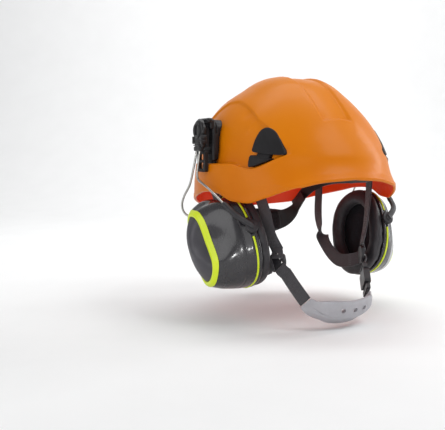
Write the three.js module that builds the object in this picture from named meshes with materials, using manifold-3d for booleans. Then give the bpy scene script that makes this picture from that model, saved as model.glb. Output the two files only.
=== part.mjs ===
// Forestry helmet with chin strap and a pair of helmet-mounted ear muffs.
// Millimetres, +Z up. The origin is the wearer's head axis at the height of the
// front edge of the brim: -Y is the front, -X the wearer's right, +X the left.
// Paired pieces are modelled on the left and mirrored.
import * as THREE from 'three';
import { mergeVertices } from 'three/addons/utils/BufferGeometryUtils.js';
import Module from 'manifold-3d';

const wasm = await Module();
wasm.setup();

// ---------------------------------------------------------- shared dimensions
const GAP = 0.3;                  // running gap between neighbouring pieces
const ROUND_SIDES = 14;           // facets of the plain cylinders
const MOUNT_Y = 8;                // centre line of the side adapter
const BLADE = { x0: 99.2, x1: 102.8, halfWidth: 11 };  // adapter's blade in the side ledge
const WEB = 20;                   // webbing width
const CHIN_WEB = WEB * 0.8;       // width of the chin strap's webbing
const WEB_T = 1.5;                // webbing thickness
const UP = [0, 0, 1];

// ------------------------------------------------------------------ materials
const material = (settings) => new THREE.MeshStandardMaterial(settings);
const ORANGE = material({ color: 0xe2790c, roughness: 0.32 });
const BLACK = material({ color: 0x26252a, roughness: 0.6 });
const CUP_GREY = material({ color: 0x4b4a50, roughness: 0.38 });
const FACE_GREY = material({ color: 0x5b5a62, roughness: 0.42 });
const LIME = material({ color: 0xdff02c, roughness: 0.4 });
const STEEL = material({ color: 0xb4b4b0, roughness: 0.28, metalness: 1 });
const WEBBING = material({ color: 0x55545a, roughness: 0.9 });
const HARNESS = material({ color: 0x2b2b30, roughness: 0.55 });
const FOAM = material({ color: 0x2a2a2c, roughness: 0.95 });
const PADDING = material({ color: 0x3a3a40, roughness: 0.85 });
const CUSHION = material({ color: 0x3c3b40, roughness: 0.55 });
const CHIN = material({ color: 0xb7b7ba, roughness: 0.6 });
const BUTTON = material({ color: 0xe8721c, roughness: 0.45 });

// ----------------------------------------------------------------------- maths
const { clamp, degToRad } = THREE.MathUtils;
const vector = (x, y, z) => new THREE.Vector3(x, y, z);

// eased 0 to 1 between two edges, which may run downwards
function smoothstep(from, to, value) {
  const t = clamp((value - from) / (to - from), 0, 1);
  return t * t * (3 - 2 * t);
}

// point moved by any number of [direction, distance] moves
const offset = (point, ...moves) => moves.reduce(
  ([x, y, z], [[dx, dy, dz], distance]) => [x + dx * distance, y + dy * distance, z + dz * distance],
  point,
);

// radius factor of a superellipse in the direction (u, v)
const superellipse = (u, v, power) =>
  Math.pow(Math.pow(Math.abs(u), power) + Math.pow(Math.abs(v), power), -1 / power);

// monotone cubic through given points, held constant beyond its ends
function curve(xs, ys) {
  const last = xs.length - 1;
  const widths = xs.slice(1).map((x, i) => x - xs[i]);
  const slopes = widths.map((width, i) => (ys[i + 1] - ys[i]) / width);
  const tangents = new Array(xs.length).fill(0);
  for (let i = 1; i < last; i++) {
    if (slopes[i - 1] * slopes[i] > 0) {
      const before = 2 * widths[i] + widths[i - 1];
      const after = widths[i] + 2 * widths[i - 1];
      tangents[i] = (before + after) / (before / slopes[i - 1] + after / slopes[i]);
    }
  }
  tangents[0] = slopes[0];
  tangents[last] = slopes[last - 1];
  return (value) => {
    const x = clamp(value, xs[0], xs[last]);
    let i = 0;
    while (i < last - 1 && x > xs[i + 1]) i++;
    const t = (x - xs[i]) / widths[i];
    const t2 = t * t;
    const t3 = t2 * t;
    return (2 * t3 - 3 * t2 + 1) * ys[i] + (t3 - 2 * t2 + t) * widths[i] * tangents[i]
      + (-2 * t3 + 3 * t2) * ys[i + 1] + (t3 - t2) * widths[i] * tangents[i + 1];
  };
}

const spline = (points) =>
  new THREE.CatmullRomCurve3(points.map((p) => vector(...p)), false, 'centripetal');
const smooth = (points, steps) => spline(points).getPoints(steps).map((p) => p.toArray());

function tangentAt(points, i) {
  const before = vector(...points[Math.max(0, i - 1)]);
  const after = vector(...points[Math.min(points.length - 1, i + 1)]);
  return after.sub(before).normalize();
}

// ------------------------------------------------------- geometries and solids
function volume(geometry) {
  const { position } = geometry.attributes;
  const corners = [vector(), vector(), vector()];
  let sum = 0;
  for (let i = 0; i < geometry.index.count; i += 3) {
    corners.forEach((c, k) => c.fromBufferAttribute(position, geometry.index.getX(i + k)));
    const [a, b, c] = corners;
    sum += a.dot(b.cross(c)) / 6;
  }
  return sum;
}

function flip(geometry) {
  const index = geometry.index.array;
  for (let i = 0; i < index.length; i += 3) {
    [index[i], index[i + 1]] = [index[i + 1], index[i]];
  }
  return geometry;
}

// closed indexed mesh with its faces turned outwards
function weld(geometry) {
  const bare = geometry.clone();
  bare.deleteAttribute('normal');
  bare.deleteAttribute('uv');
  const merged = mergeVertices(bare, 1e-4);
  return volume(merged) < 0 ? flip(merged) : merged;
}

function meshGeometry(positions, indices) {
  const geometry = new THREE.BufferGeometry();
  geometry.setAttribute('position', new THREE.BufferAttribute(Float32Array.from(positions), 3));
  geometry.setIndex(new THREE.BufferAttribute(Uint32Array.from(indices), 1));
  return geometry;
}

function toSolid(body) {
  if (!(body instanceof THREE.BufferGeometry)) return body;
  const welded = weld(body);
  return new wasm.Manifold(new wasm.Mesh({
    numProp: 3,
    vertProperties: Float32Array.from(welded.attributes.position.array),
    triVerts: Uint32Array.from(welded.index.array),
  }));
}

function toGeometry(body) {
  if (body instanceof THREE.BufferGeometry) return body;
  const mesh = body.getMesh();
  return meshGeometry(mesh.vertProperties, mesh.triVerts);
}

// both take geometries or solids; cut takes the later bodies from the first
const join = (...bodies) => bodies.map(toSolid).reduce((all, body) => all.add(body));
const cut = (...bodies) => bodies.map(toSolid).reduce((rest, body) => rest.subtract(body));

const mainBody = (body) => body.decompose().sort((a, b) => b.volume() - a.volume())[0];

// closed body through a row of rings; each end is closed by a fan, or joins the start
function loft(rings, { loop = false, startTip, endTip } = {}) {
  const count = rings[0].length;
  const points = rings.flat();
  const indices = [];
  const spans = rings.length - (loop ? 0 : 1);
  for (let k = 0; k < spans; k++) {
    const a = k * count;
    const b = ((k + 1) % rings.length) * count;
    for (let i = 0; i < count; i++) {
      const j = (i + 1) % count;
      indices.push(a + i, a + j, b + j, a + i, b + j, b + i);
    }
  }
  if (!loop) {
    const centre = (ring) => ring.reduce((sum, p) => offset(sum, [p, 1 / count]), [0, 0, 0]);
    const end = (rings.length - 1) * count;
    const tip = points.length;
    points.push(startTip ?? centre(rings[0]), endTip ?? centre(rings.at(-1)));
    for (let i = 0; i < count; i++) indices.push(tip, (i + 1) % count, i);
    for (let i = 0; i < count; i++) indices.push(tip + 1, end + i, end + (i + 1) % count);
  }
  return weld(meshGeometry(points.flat(), indices));
}

// flat band along points; across(u) gives its width direction, u running 0 to 1.
// The width is a number or a function of u.
function band(points, across, width, thickness) {
  return loft(points.map((point, i) => {
    const u = i / (points.length - 1);
    const tangent = tangentAt(points, i);
    const side = vector(...across(u));
    side.addScaledVector(tangent, -side.dot(tangent)).normalize();
    const normal = tangent.clone().cross(side).normalize();
    const halfWidth = (typeof width === 'function' ? width(u) : width) / 2;
    return [[-1, -1], [1, -1], [1, 1], [-1, 1]].map(([s, q]) =>
      offset(point, [side, s * halfWidth], [normal, q * thickness / 2]));
  }));
}

// band across the wearer's middle, given by its left half from the middle outwards
function symmetricBand(half, steps, width, thickness, across = UP) {
  const right = half.slice(1).reverse().map(([x, y, z]) => [-x, y, z]);
  return band(smooth([...right, ...half], steps), () => across, width, thickness);
}

// width that changes between two shares of the way from the middle to either end
const taper = (middle, end, from, to) => (u) =>
  middle - (middle - end) * smoothstep(from, to, Math.abs(u - 0.5) * 2);

// six-sided rod along points
function rod(points, radius) {
  return weld(new THREE.ExtrudeGeometry(new THREE.Shape().absarc(0, 0, radius, 0, Math.PI * 2), {
    steps: 56, curveSegments: 3, extrudePath: spline(points), bevelEnabled: false,
  }));
}

function box(x0, x1, y0, y1, z0, z1) {
  const geometry = new THREE.BoxGeometry(x1 - x0, y1 - y0, z1 - z0);
  return weld(geometry.translate((x0 + x1) / 2, (y0 + y1) / 2, (z0 + z1) / 2));
}

const cylinder = (radius, length) =>
  new THREE.CylinderGeometry(radius, radius, length, ROUND_SIDES);
const cylinderY = (radius, x, z, y0, y1) =>
  weld(cylinder(radius, y1 - y0).translate(x, (y0 + y1) / 2, z));
const cylinderX = (radius, y, z, x0, x1) =>
  weld(cylinder(radius, x1 - x0).rotateZ(Math.PI / 2).translate((x0 + x1) / 2, y, z));

const frame = (xAxis, yAxis, zAxis, origin = [0, 0, 0]) => new THREE.Matrix4()
  .makeBasis(vector(...xAxis), vector(...yAxis), vector(...zAxis))
  .setPosition(...origin);

// outline in a frame's X and Y, pushed out along its Z
function extrude(outline, from, to, placement, holes = []) {
  const flat = (points) => points.map(([u, v]) => new THREE.Vector2(u, v));
  const shape = new THREE.Shape(flat(outline));
  shape.holes = holes.map((hole) => new THREE.Path(flat(hole).reverse()));
  const geometry = new THREE.ExtrudeGeometry(shape, { depth: to - from, bevelEnabled: false });
  return weld(geometry.translate(0, 0, from).applyMatrix4(placement));
}
// outline in (Y, Z) pushed out along X
const slabX = (outline, x0, x1, holes) =>
  extrude(outline, x0, x1, frame([0, 1, 0], UP, [1, 0, 0]), holes);
// outline in (X, Z) pushed out along Y
const slabY = (outline, y0, y1) =>
  extrude(outline, -y1, -y0, frame([1, 0, 0], UP, [0, -1, 0]));

function roundedRect(u0, u1, v0, v1, radius, steps = 3) {
  const corners = [
    [u1 - radius, v1 - radius, 0], [u0 + radius, v1 - radius, 90],
    [u0 + radius, v0 + radius, 180], [u1 - radius, v0 + radius, 270],
  ];
  return corners.flatMap(([u, v, start]) => Array.from({ length: steps + 1 }, (_, i) => {
    const angle = degToRad(start + 90 * i / steps);
    return [u + radius * Math.cos(angle), v + radius * Math.sin(angle)];
  }));
}
const centredRect = (halfU, halfV, radius, steps) =>
  roundedRect(-halfU, halfU, -halfV, halfV, radius, steps);

const helmet = new THREE.Group();

function piece(name, body, finish) {
  const geometry = weld(toGeometry(body));
  geometry.computeVertexNormals();
  const mesh = new THREE.Mesh(geometry, finish);
  mesh.name = name;
  helmet.add(mesh);
}

const mirrored = (geometry) => geometry.clone().scale(-1, 1, 1);

function pair(name, body, finish) {
  const geometry = toGeometry(body);
  piece(`${name}_left`, geometry, finish);
  piece(`${name}_right`, mirrored(geometry), finish);
}

// ---------------------------------------------------------------------- shell
const SHELL_HALF_WIDTH = 108.5;   // shell half width at brim height
const SHELL_FRONT = 124;          // head axis to shell front, without the brim
const SHELL_REAR = 120;           // head axis to shell rear
const SHELL_POWER = 2.15;         // fullness of the shell's plan curve
const SHELL_TOP = 118;            // crown height above the brim's front edge
const WALL = 3;                   // moulded wall
const CHANNEL_HALF = 19;          // half width of the sunken crown channel
const CHANNEL_END = 97;           // where the channel stops, front and rear
const THETA_STEPS = 54;           // facets round the shell
const INNER_REACH = { below: 12, base: -60 };  // inner solids run out below the rim

// share of the plan radius against height
const profileFront = curve(
  [-60, 0, 19, 34, 49, 62, 75, 92, 106, 112, 115.5, 117.4, 118],
  [1.02, 1, .985, .94, .872, .80, .71, .565, .42, .32, .22, .1, 0],
);
const profileSide = curve(
  [-60, 0, 19, 34, 49, 62, 75, 85, 92, 100, 106, 112, 115.5, 117.4, 118],
  [1.01, 1, .99, .965, .922, .865, .78, .695, .61, .5, .425, .325, .225, .1, 0],
);
// height of the rim, of the side ledge and of the arch over the sunken side panel,
// all against the angle from the front in degrees
const rimZ = curve(
  [0, 15, 30, 45, 55, 65, 78, 86, 96, 110, 125, 150, 180],
  [0, -2, -9, -20, -25.5, -24.5, -17, -15.5, -16.5, -21.5, -27.5, -39, -44],
);
const ledgeZ = curve(
  [0, 25, 33.8, 54, 60, 69, 80, 120, 180],
  [28, 27, 24, 10, 11.3, 14.5, 14.7, 14.2, 14],
);
const archZ = curve(
  [0, 20, 30, 34, 37, 46, 53, 61.4, 72.7, 86.9, 97, 105, 115, 123, 130, 134, 150, 180],
  [60, 45, 34, 31, 38.6, 53.5, 60.6, 71, 79.5, 84.5, 83.5, 78.5, 67, 52, 34, 24, 24, 30],
);
// depth of the side panel just above the ledge, against the same angle
const panelFootDepth = curve([0, 34, 50, 75, 110, 125, 180], [4, 4, 5, 10.5, 10.5, 6, 4]);
const PANEL_TOP_DEPTH = 2.5;

const fromFront = (theta) => Math.abs(theta) * 180 / Math.PI;

const planRadius = (theta) => superellipse(
  Math.sin(theta) / SHELL_HALF_WIDTH,
  Math.cos(theta) / (Math.cos(theta) > 0 ? SHELL_FRONT : SHELL_REAR),
  SHELL_POWER,
);

function domeRadius(theta, z) {
  const degrees = fromFront(theta);
  const side = smoothstep(50, 105, degrees);
  const low = clamp((20 - z) / 24, 0, 1.15);
  // outward sweep of the lower edge: the brim in front, a slight one at the rear
  const flare = (9.5 * (1 - smoothstep(12, 66, degrees)) + 2.5 * smoothstep(100, 160, degrees))
    * low * low;
  return planRadius(theta) * (profileFront(z) * (1 - side) + profileSide(z) * side) + flare;
}

function panelDepth(degrees, z) {
  const within = smoothstep(30, 38, degrees) * (1 - smoothstep(127, 134, degrees));
  const extra = (panelFootDepth(degrees) - PANEL_TOP_DEPTH) * smoothstep(64, 18, z);
  return within * (PANEL_TOP_DEPTH + extra);
}

function domePoint(theta, z) {
  const radius = domeRadius(theta, z);
  return vector(radius * Math.sin(theta), -radius * Math.cos(theta), z);
}

function domeNormal(theta, z) {
  const height = Math.min(z, 117.2);   // keeps the samples off the crown's pole
  const round = domePoint(theta - .02, height).sub(domePoint(theta + .02, height));
  const rise = domePoint(theta, height + .5).sub(domePoint(theta, height - .5));
  return rise.cross(round).normalize();
}

// rows of a dome column from rim to crown, as [height, lies in the sunken panel]
function domeLevels(rim, ledge, arch) {
  const foot = ledge + .5;             // first row of the panel
  const panelRise = arch - 2 - ledge;
  const top = arch + 1.5;              // first row above the panel
  return [
    [rim, false],
    [rim + (ledge - rim) * .36, false],
    [ledge - (ledge - rim) * .22, false],
    [ledge - .3, false],
    [foot, true],
    [foot + panelRise * .36, true],
    [foot + panelRise * .7, true],
    [arch - 2, true],
    [top, false],
    ...[.3, .54, .74, .88, .955, .99].map((share) => [top + (SHELL_TOP - top) * share, false]),
  ];
}

// solid bounded by the dome moved inwards by inset; panel: with the sunken side panels;
// below lowers the rim row; drop lowers the ledge rows so that the wall keeps its
// thickness under the ledge; base is the height of the closing point underneath
function domeSolid(inset, options = {}) {
  const { panel = true, below = 0, drop = 0, base = 0, steps = THETA_STEPS } = options;
  const columns = Array.from({ length: steps }, (_, i) => {
    const theta = -Math.PI + 2 * Math.PI * i / steps;
    const degrees = fromFront(theta);
    const arch = Math.max(archZ(degrees), ledgeZ(degrees) + 7);
    const levels = domeLevels(rimZ(degrees) - below, ledgeZ(degrees) - drop, arch);
    return levels.map(([z, sunken], row) => {
      const point = domePoint(theta, z);
      const normal = domeNormal(theta, z);
      const depth = panel && sunken ? panelDepth(degrees, z + (row < 6 ? drop : 0)) : 0;
      const radius = Math.hypot(point.x, point.y);
      point.x -= point.x / radius * depth;
      point.y -= point.y / radius * depth;
      return point.addScaledVector(normal, -inset).toArray();
    });
  });
  const rings = columns[0].map((_, row) => columns.map((column) => column[row]));
  return toSolid(loft(rings, { startTip: [0, 0, base], endTip: [0, 0, SHELL_TOP - inset] }));
}

const outerDome = domeSolid(0);

function shell() {
  const plain = { panel: false, steps: 40, ...INNER_REACH };
  const innerDome = domeSolid(WALL, { drop: WALL, ...INNER_REACH });
  const webX = CHANNEL_HALF + WALL;
  const webY = CHANNEL_END + WALL;
  const channel = cut(
    box(-CHANNEL_HALF, CHANNEL_HALF, -CHANNEL_END, CHANNEL_END, 60, 130),
    domeSolid(WALL, plain),
  );
  const channelWeb = cut(box(-webX, webX, -webY, webY, 55, 130), domeSolid(WALL * 2, plain));
  // slot in each side ledge for the adapter's blade
  const [x0, x1] = [BLADE.x0 - .5, BLADE.x1 + .5];
  const slotHalf = BLADE.halfWidth + .6;
  const slotYZ = [MOUNT_Y - slotHalf, MOUNT_Y + slotHalf, 5, 19];
  return cut(outerDome, channel, cut(innerDome, channelWeb),
    box(x0, x1, ...slotYZ), box(-x1, -x0, ...slotYZ));
}
piece('shell', shell(), ORANGE);

// the shell with room round it, the same on both sides so that a pair can be mirrored
function shellWithClearance() {
  const room = join(domeSolid(-0.35), ...[
    [GAP, 0, 0], [-GAP, 0, 0], [0, GAP, 0], [0, -GAP, 0], [0, 0, GAP], [0, 0, -GAP],
  ].map((shift) => outerDome.translate(shift)));
  return room.add(room.mirror([1, 0, 0]));
}
const shellClear = shellWithClearance();

// ------------------------------------------- accessory plugs in the side panels
// outline of the two-lobed plug seen from the side, as (Y, Z)
const PLUG_OUTLINE = [
  [-66.6, 27.4], [-65.8, 33.5], [-65, 39.9], [-64.6, 45.8], [-65, 50.2], [-67, 52.8],
  [-70, 53.4], [-74.2, 52.2], [-78.6, 49.7], [-82.8, 46], [-87.6, 40.2], [-92.3, 33.4],
  [-95.8, 28.1], [-97.4, 24.2], [-93.8, 23.7], [-84, 23.4], [-81.6, 21.5], [-88, 20.3],
  [-80, 15.8], [-72.8, 12.6], [-66.6, 10.9], [-65.9, 17], [-65.9, 24], [-70, 23.8],
  [-75.4, 22.6], [-75.4, 25.6],
];
const plugBlank = toSolid(slabX(PLUG_OUTLINE, 40, 112))
  .intersect(domeSolid(-0.7, { panel: false }));
pair('accessory_plug', mainBody(cut(plugBlank, shellClear)), BLACK);

// --------------------------------------------------------- ear muff adapters
const FOLD = { x: 108.6, z: 62.5, radius: 3 };  // hinge on which the arm folds out
const SWING_Z = 47;               // height of the arm's swing pivot
const BASE_HALF = 14;             // half width of the adapter's base
const KNUCKLE_INNER = 8.8;        // centre line to the inner end of a hinge knuckle
const BARREL_HALF = 8.4;          // half width of the carrier's barrel

const mountRect = (halfWidth, z0, z1, radius, steps) =>
  roundedRect(MOUNT_Y - halfWidth, MOUNT_Y + halfWidth, z0, z1, radius, steps);

function mountBase() {
  // small corner radius below, large above, put in order round the middle
  const angle = ([y, z]) => Math.atan2(z - 41, y - MOUNT_Y);
  const outline = [
    ...mountRect(BASE_HALF, 16, 66.5, 4).filter(([, z]) => z < 40),
    ...mountRect(BASE_HALF, 16, 66.5, 11, 4).filter(([, z]) => z > 40),
  ].sort((p, q) => angle(p) - angle(q));
  const { x, z, radius } = FOLD;
  const knuckles = [[-BASE_HALF, -KNUCKLE_INNER], [KNUCKLE_INNER, BASE_HALF]];
  return join(
    mainBody(cut(slabX(outline, 80, 105), shellClear)),
    box(BLADE.x0, BLADE.x1, MOUNT_Y - BLADE.halfWidth, MOUNT_Y + BLADE.halfWidth, 6.5, 17),
    ...knuckles.flatMap(([from, to]) => [
      cylinderY(radius, x, z, MOUNT_Y + from, MOUNT_Y + to),
      box(103.5, x, MOUNT_Y + from, MOUNT_Y + to, z - radius, z + radius),
    ]),
  );
}
pair('mount_base', mountBase(), BLACK);

// plate with two windows and a lip at its top edge
pair('mount_latch', join(
  slabX(mountRect(10, 5, 29.3, 2), 109.4, 113, [
    mountRect(5.5, 8.5, 15.5, 1, 1),
    mountRect(5.5, 18.5, 25, 1, 1),
  ]),
  box(105.3, 110, MOUNT_Y - 8, MOUNT_Y + 8, 25.5, 29.3),
), BLACK);

// fold-out carrier: barrel between the base's knuckles, plate and pivot boss
const BARREL_Y = [MOUNT_Y - BARREL_HALF, MOUNT_Y + BARREL_HALF];
pair('arm_carrier', join(
  cylinderY(FOLD.radius, FOLD.x, FOLD.z, ...BARREL_Y),
  box(107.3, 110.3, ...BARREL_Y, 33, FOLD.z),
  cylinderX(6, MOUNT_Y, SWING_Z, 109, 111.7),
), BLACK);

// wire bow: front leg, loop inside the hub, rear leg
const WIRE_R = 1.3;
const WIRE_POINTS = [
  [113, -47.5, -27], [117, -20, -12.6], [117.6, -2, -6.4], [117.4, 6.5, -3.2],
  [117, 9.6, 3], [116.4, 7, 18], [116, 4.8, 32], [116, 4.2, 42], [116, 6, 47.5],
  [116, 10, 47.5], [116, 11.8, 42], [116, 12.4, 32], [118, 17, 10], [120, 23.5, -10],
  [121.8, 35, -23.5], [122, 40.6, -34], [119, 40.8, -43], [111, 36, -50],
];

// hub block with the wire's tunnel and a round dish in its outer face
pair('arm_hub', mainBody(cut(
  slabX(mountRect(12, 31, 64, 8, 4), 112, 119.4),
  rod(WIRE_POINTS, WIRE_R + 0.5),
  cylinderX(5.2, MOUNT_Y, SWING_Z + 3, 118, 121),
)), BLACK);
pair('wire_arm', rod(WIRE_POINTS, WIRE_R), STEEL);

// --------------------------------------------------------------------- ear cups
const CUP_BASE = [83, -29, -70.5];  // centre of an ear cup's rim
const CUP_TILT = degToRad(9);     // lower edge of the cup leans in
const CUP_LEAN = degToRad(23);    // top of the cup leans back
const CUP_A = 50.5;               // half height of the cup's rim
const CUP_B = 44;                 // half width of the cup's rim
const CUP_DEPTH = 38.5;           // rim to shoulder of the outer face
const CUP_POWER = 2.3;            // fullness of the cup's outline
const CUP_WALL = 2.4;
const FACE_A = CUP_A - 8.5;       // half height of the outer face
const FACE_B = CUP_B - 21;        // half width of the outer face
const FACE_PLACE = { back: 15, up: 5.5, bent: 1 };
const FACE_INSET = 4.8;           // outer face's edge to the raised cup face

const [tiltCos, tiltSin] = [Math.cos(CUP_TILT), Math.sin(CUP_TILT)];
const [leanCos, leanSin] = [Math.cos(CUP_LEAN), Math.sin(CUP_LEAN)];
const CUP_OUT = [tiltCos, 0, -tiltSin];                          // along the cup's axis
const CUP_UP = [tiltSin * leanCos, leanSin, tiltCos * leanCos];  // up the face
const CUP_FORWARD = [tiltSin * leanSin, -leanCos, tiltCos * leanSin];
const cupPoint = (out, up, forward) =>
  offset(CUP_BASE, [CUP_OUT, out], [CUP_UP, up], [CUP_FORWARD, forward]);

// [up, forward] on the cup's outline at an angle from its top, for half sizes of 1
function cupOutline(angle) {
  const [c, s] = [Math.cos(angle), Math.sin(angle)];
  const radius = superellipse(c, s, CUP_POWER);
  return [c * radius, s * radius];
}

// how far the outer face stands out against the height on it
const bend = (height) => -.055 * height + .085 * (Math.sqrt(height * height + 144) - 12);

// Outline at the distance out from the rim, with half height a and half width b.
// back and up shift it, bent is its share of the face's bend, and trim lowers its
// upper front so that it stays clear of the shell's edge.
function cupRing({ out, a, b, back = 0, up = 0, bent = 0, trim = 0, count = 30 }) {
  return Array.from({ length: count }, (_, i) => {
    const angle = 2 * Math.PI * i / count;
    const [u, v] = cupOutline(angle);
    const trimmed = trim * smoothstep(-.1, .4, Math.sin(angle));
    const height = (a - trimmed) * u + up - trimmed;
    return cupPoint(out + bent * bend(height), height, b * v - back);
  });
}

// ring of the outer face, out from its shoulder
const faceRing = (out, inset, scale = 1) => cupRing({
  out: CUP_DEPTH + out,
  a: (FACE_A - inset) * scale,
  b: (FACE_B - inset) * scale,
  trim: scale,
  ...FACE_PLACE,
});

// wall between rim and outer face: out, half height, half width, back, up, bent, trim
const CUP_STATIONS = [
  [7, CUP_A, CUP_B, 0, 0, 0, 0],
  [11.5, CUP_A + 2.1, CUP_B - 1.1, 1, 3, .11, 2.6],
  [16, CUP_A + 2.4, CUP_B - 2.5, 2, 4.4, .22, 3.5],
  [25, CUP_A + .4, CUP_B - 8, 6.5, 5.7, .58, 3.5],
  [32, CUP_A - 3.3, CUP_B - 14, 11, 6, .86, 2.6],
  [36.2, CUP_A - 6.3, CUP_B - 18.3, 14, 6.1, 1, 1.9],
].map(([out, a, b, back, up, bent, trim]) => ({ out, a, b, back, up, bent, trim }));

function cupShell() {
  const outer = loft([
    cupRing({ out: 0, a: CUP_A, b: CUP_B }),
    ...CUP_STATIONS.map(cupRing),
    ...[1, .6, .15].map((scale) => faceRing(0, 0, scale)),
  ]);
  const inner = loft([
    cupRing({ out: -4, a: CUP_A - CUP_WALL, b: CUP_B - CUP_WALL }),
    ...CUP_STATIONS.map((station) => {
      const { out, a, b } = station;
      const inset = CUP_WALL + (out > 20 ? 1 : 0);
      return cupRing({
        ...station, out: out > 30 ? out - CUP_WALL : out, a: a - inset, b: b - inset,
      });
    }),
  ]);
  return cut(outer, inner);
}
pair('cup_shell', cupShell(), CUP_GREY);

// section of the ring round the face, as [out, inset]
const OUTER_RING_SECTION = [[GAP, .2], [1.6, .5], [2.6, 1.8], [2.6, 4.4], [GAP, 4.4]];
pair('accent_ring_outer',
  loft(OUTER_RING_SECTION.map(([out, inset]) => faceRing(out, inset)), { loop: true }), LIME);

// raised face inside that ring, as [out, scale]
const FACE_STATIONS = [[GAP, 1], [2.4, 1], [7, .86], [11, .68], [14, .45], [15.4, .2]];
pair('cup_face',
  loft(FACE_STATIONS.map(([out, scale]) => faceRing(out, FACE_INSET, scale))), FACE_GREY);

// inner accent ring, open where the front pivot paddle crosses it
function innerAccentRing() {
  const steps = 28;
  const [start, sweep] = [degToRad(98), degToRad(336)];
  const section = [[4.4, .35], [4.4, 1.1], [6.4, 1.1], [6.4, .35]];  // [out, beyond the rim]
  return loft(Array.from({ length: steps + 1 }, (_, i) => {
    const [u, v] = cupOutline(start + sweep * i / steps);
    return section.map(([out, beyond]) => cupPoint(out, (CUP_A + beyond) * u, (CUP_B + beyond) * v));
  }));
}
pair('accent_ring_inner', innerAccentRing(), LIME);

pair('foam_liner', loft([
  cupRing({ out: 4, a: CUP_A - 5, b: CUP_B - 5, count: 24 }),
  cupRing({ out: 15, a: CUP_A - 6, b: CUP_B - 7, back: 1.5, count: 24 }),
]), FOAM);

// section of the cushion, as [out, added half height, added half width]
const CUSHION_SECTION = [
  [-.4, -.5, -.5], [-5, 1, 1], [-9.4, -2, -2], [-12, -8, -8], [-10, -16, -15], [-.4, -17, -16],
];
pair('cushion', loft(CUSHION_SECTION.map(([out, addA, addB]) =>
  cupRing({ out, a: CUP_A + addA, b: CUP_B + addB, count: 28 })), { loop: true }), CUSHION);

// wire sleeve from just beyond the wire's end to a round pivot paddle on the cup;
// side is 1 at the front of the cup and -1 at the rear
function sleeve(wireEnd, wireNext, middle, side) {
  const pivot = cupPoint(5.4, 3, side * (CUP_B + 3.4));
  const direction = vector(...wireEnd).sub(vector(...wireNext)).normalize();
  const start = offset(wireEnd, [direction, GAP * 2]);
  const points = smooth([start, middle, offset(pivot, [CUP_FORWARD, side * 1.4])], 12);
  const rings = points.map((point, i) => {
    const tangent = tangentAt(points, i);
    const across = vector(...UP).cross(tangent).normalize();
    const upright = tangent.clone().cross(across);
    const radius = 2.5 + .5 * i / (points.length - 1);
    return Array.from({ length: 8 }, (_, k) => {
      const angle = 2 * Math.PI * k / 8;
      return offset(point,
        [across, radius * 1.1 * Math.cos(angle)], [upright, radius * Math.sin(angle)]);
    });
  });
  const down = CUP_UP.map((value) => -value);
  const paddle = cylinder(7.5, 3).applyMatrix4(frame(CUP_OUT, CUP_FORWARD, down, pivot));
  return join(loft(rings), paddle);
}
pair('sleeve_front', sleeve(WIRE_POINTS[0], WIRE_POINTS[1], [106, -65, -39.5], 1), BLACK);
pair('sleeve_rear',
  sleeve(WIRE_POINTS.at(-1), WIRE_POINTS.at(-2), [100.5, 31, -66], -1), BLACK);

// ------------------------------------------------------------- head suspension
// left halves of the bands, from the middle outwards, as (X, Y, Z)
const HEADBAND_HALF = [
  [0, -106.4, 10], [24, -104.2, 10], [45, -93.5, 9.5], [61.5, -74, 9], [72, -47, 7.5],
  [77.2, -16, 5], [77.6, 12, 1], [73.5, 36, -7], [66, 54, -18], [60.6, 68, -30],
  [60, 78, -38], [60, 87, -44],
];
const SWEATBAND_HALF = [
  [0, -103.4, 10], [23.4, -101.2, 10], [43.4, -91, 9.5],
  [59, -72.2, 9], [69, -46, 7.5], [74, -16, 5],
];
piece('headband', symmetricBand(HEADBAND_HALF, 52, taper(31, 14, .55, .85), 1.6), HARNESS);
piece('sweatband', symmetricBand(SWEATBAND_HALF, 36, 33, 3), PADDING);

// elliptical arc of the crown straps: plan radius, rise above baseZ, and the angle in
// plan between a strap and the X axis
const CROWN = { radius: 94, rise: 62, baseZ: 25, angle: Math.atan2(52.6, 78) };
const CROWN_X = Math.cos(CROWN.angle);
const CROWN_Y = Math.sin(CROWN.angle);

// the two straps cross under the crown, one lifted over the other
function crownStrap(side, lift) {
  const points = Array.from({ length: 23 }, (_, i) => {
    const angle = degToRad(4 + 172 * i / 22);
    const radius = CROWN.radius * Math.cos(angle);
    const z = CROWN.baseZ + (CROWN.rise + lift) * Math.sin(angle);
    return [side * radius * CROWN_X, -radius * CROWN_Y, z];
  });
  return band(points, () => [side * CROWN_Y, CROWN_X, 0], WEB, WEB_T);
}
piece('crown_strap_a', crownStrap(1, 0), WEBBING);
piece('crown_strap_b', crownStrap(-1, 2.6), WEBBING);

// round pad under the straps' crossing, thinner at its edge
function crownPad() {
  const radii = [0, 10, 20, 30, 38];
  const edge = radii.at(-1);
  const topZ = (radius) => CROWN.baseZ - WEB_T / 2
    + CROWN.rise * Math.sqrt(1 - (radius / CROWN.radius) ** 2) - .6;
  const top = radii.map((radius) => new THREE.Vector2(radius, topZ(radius)));
  const bottom = radii.toReversed().map((radius) =>
    new THREE.Vector2(radius, topZ(radius) - (radius === edge ? 3 : 5)));
  return new THREE.LatheGeometry([...top, ...bottom], 20).rotateX(Math.PI / 2);
}
piece('crown_pad', crownPad(), PADDING);

// keys that hang the straps and the headband in the shell
function suspensionClip(sideX, sideY) {
  const centre = [sideX * CROWN.radius * CROWN_X, sideY * CROWN.radius * CROWN_Y, 13];
  const outward = vector(centre[0], centre[1], 0).normalize();
  const placement = frame([-outward.y, outward.x, 0], UP, outward, centre);
  return extrude(centredRect(12, 13, 4, 2), -2.2, 2.2, placement);
}
for (const [end, sideY] of [['front', -1], ['rear', 1]]) {
  for (const [side, sideX] of [['left', 1], ['right', -1]]) {
    piece(`suspension_clip_${end}_${side}`, suspensionClip(sideX, sideY), HARNESS);
  }
}

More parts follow.
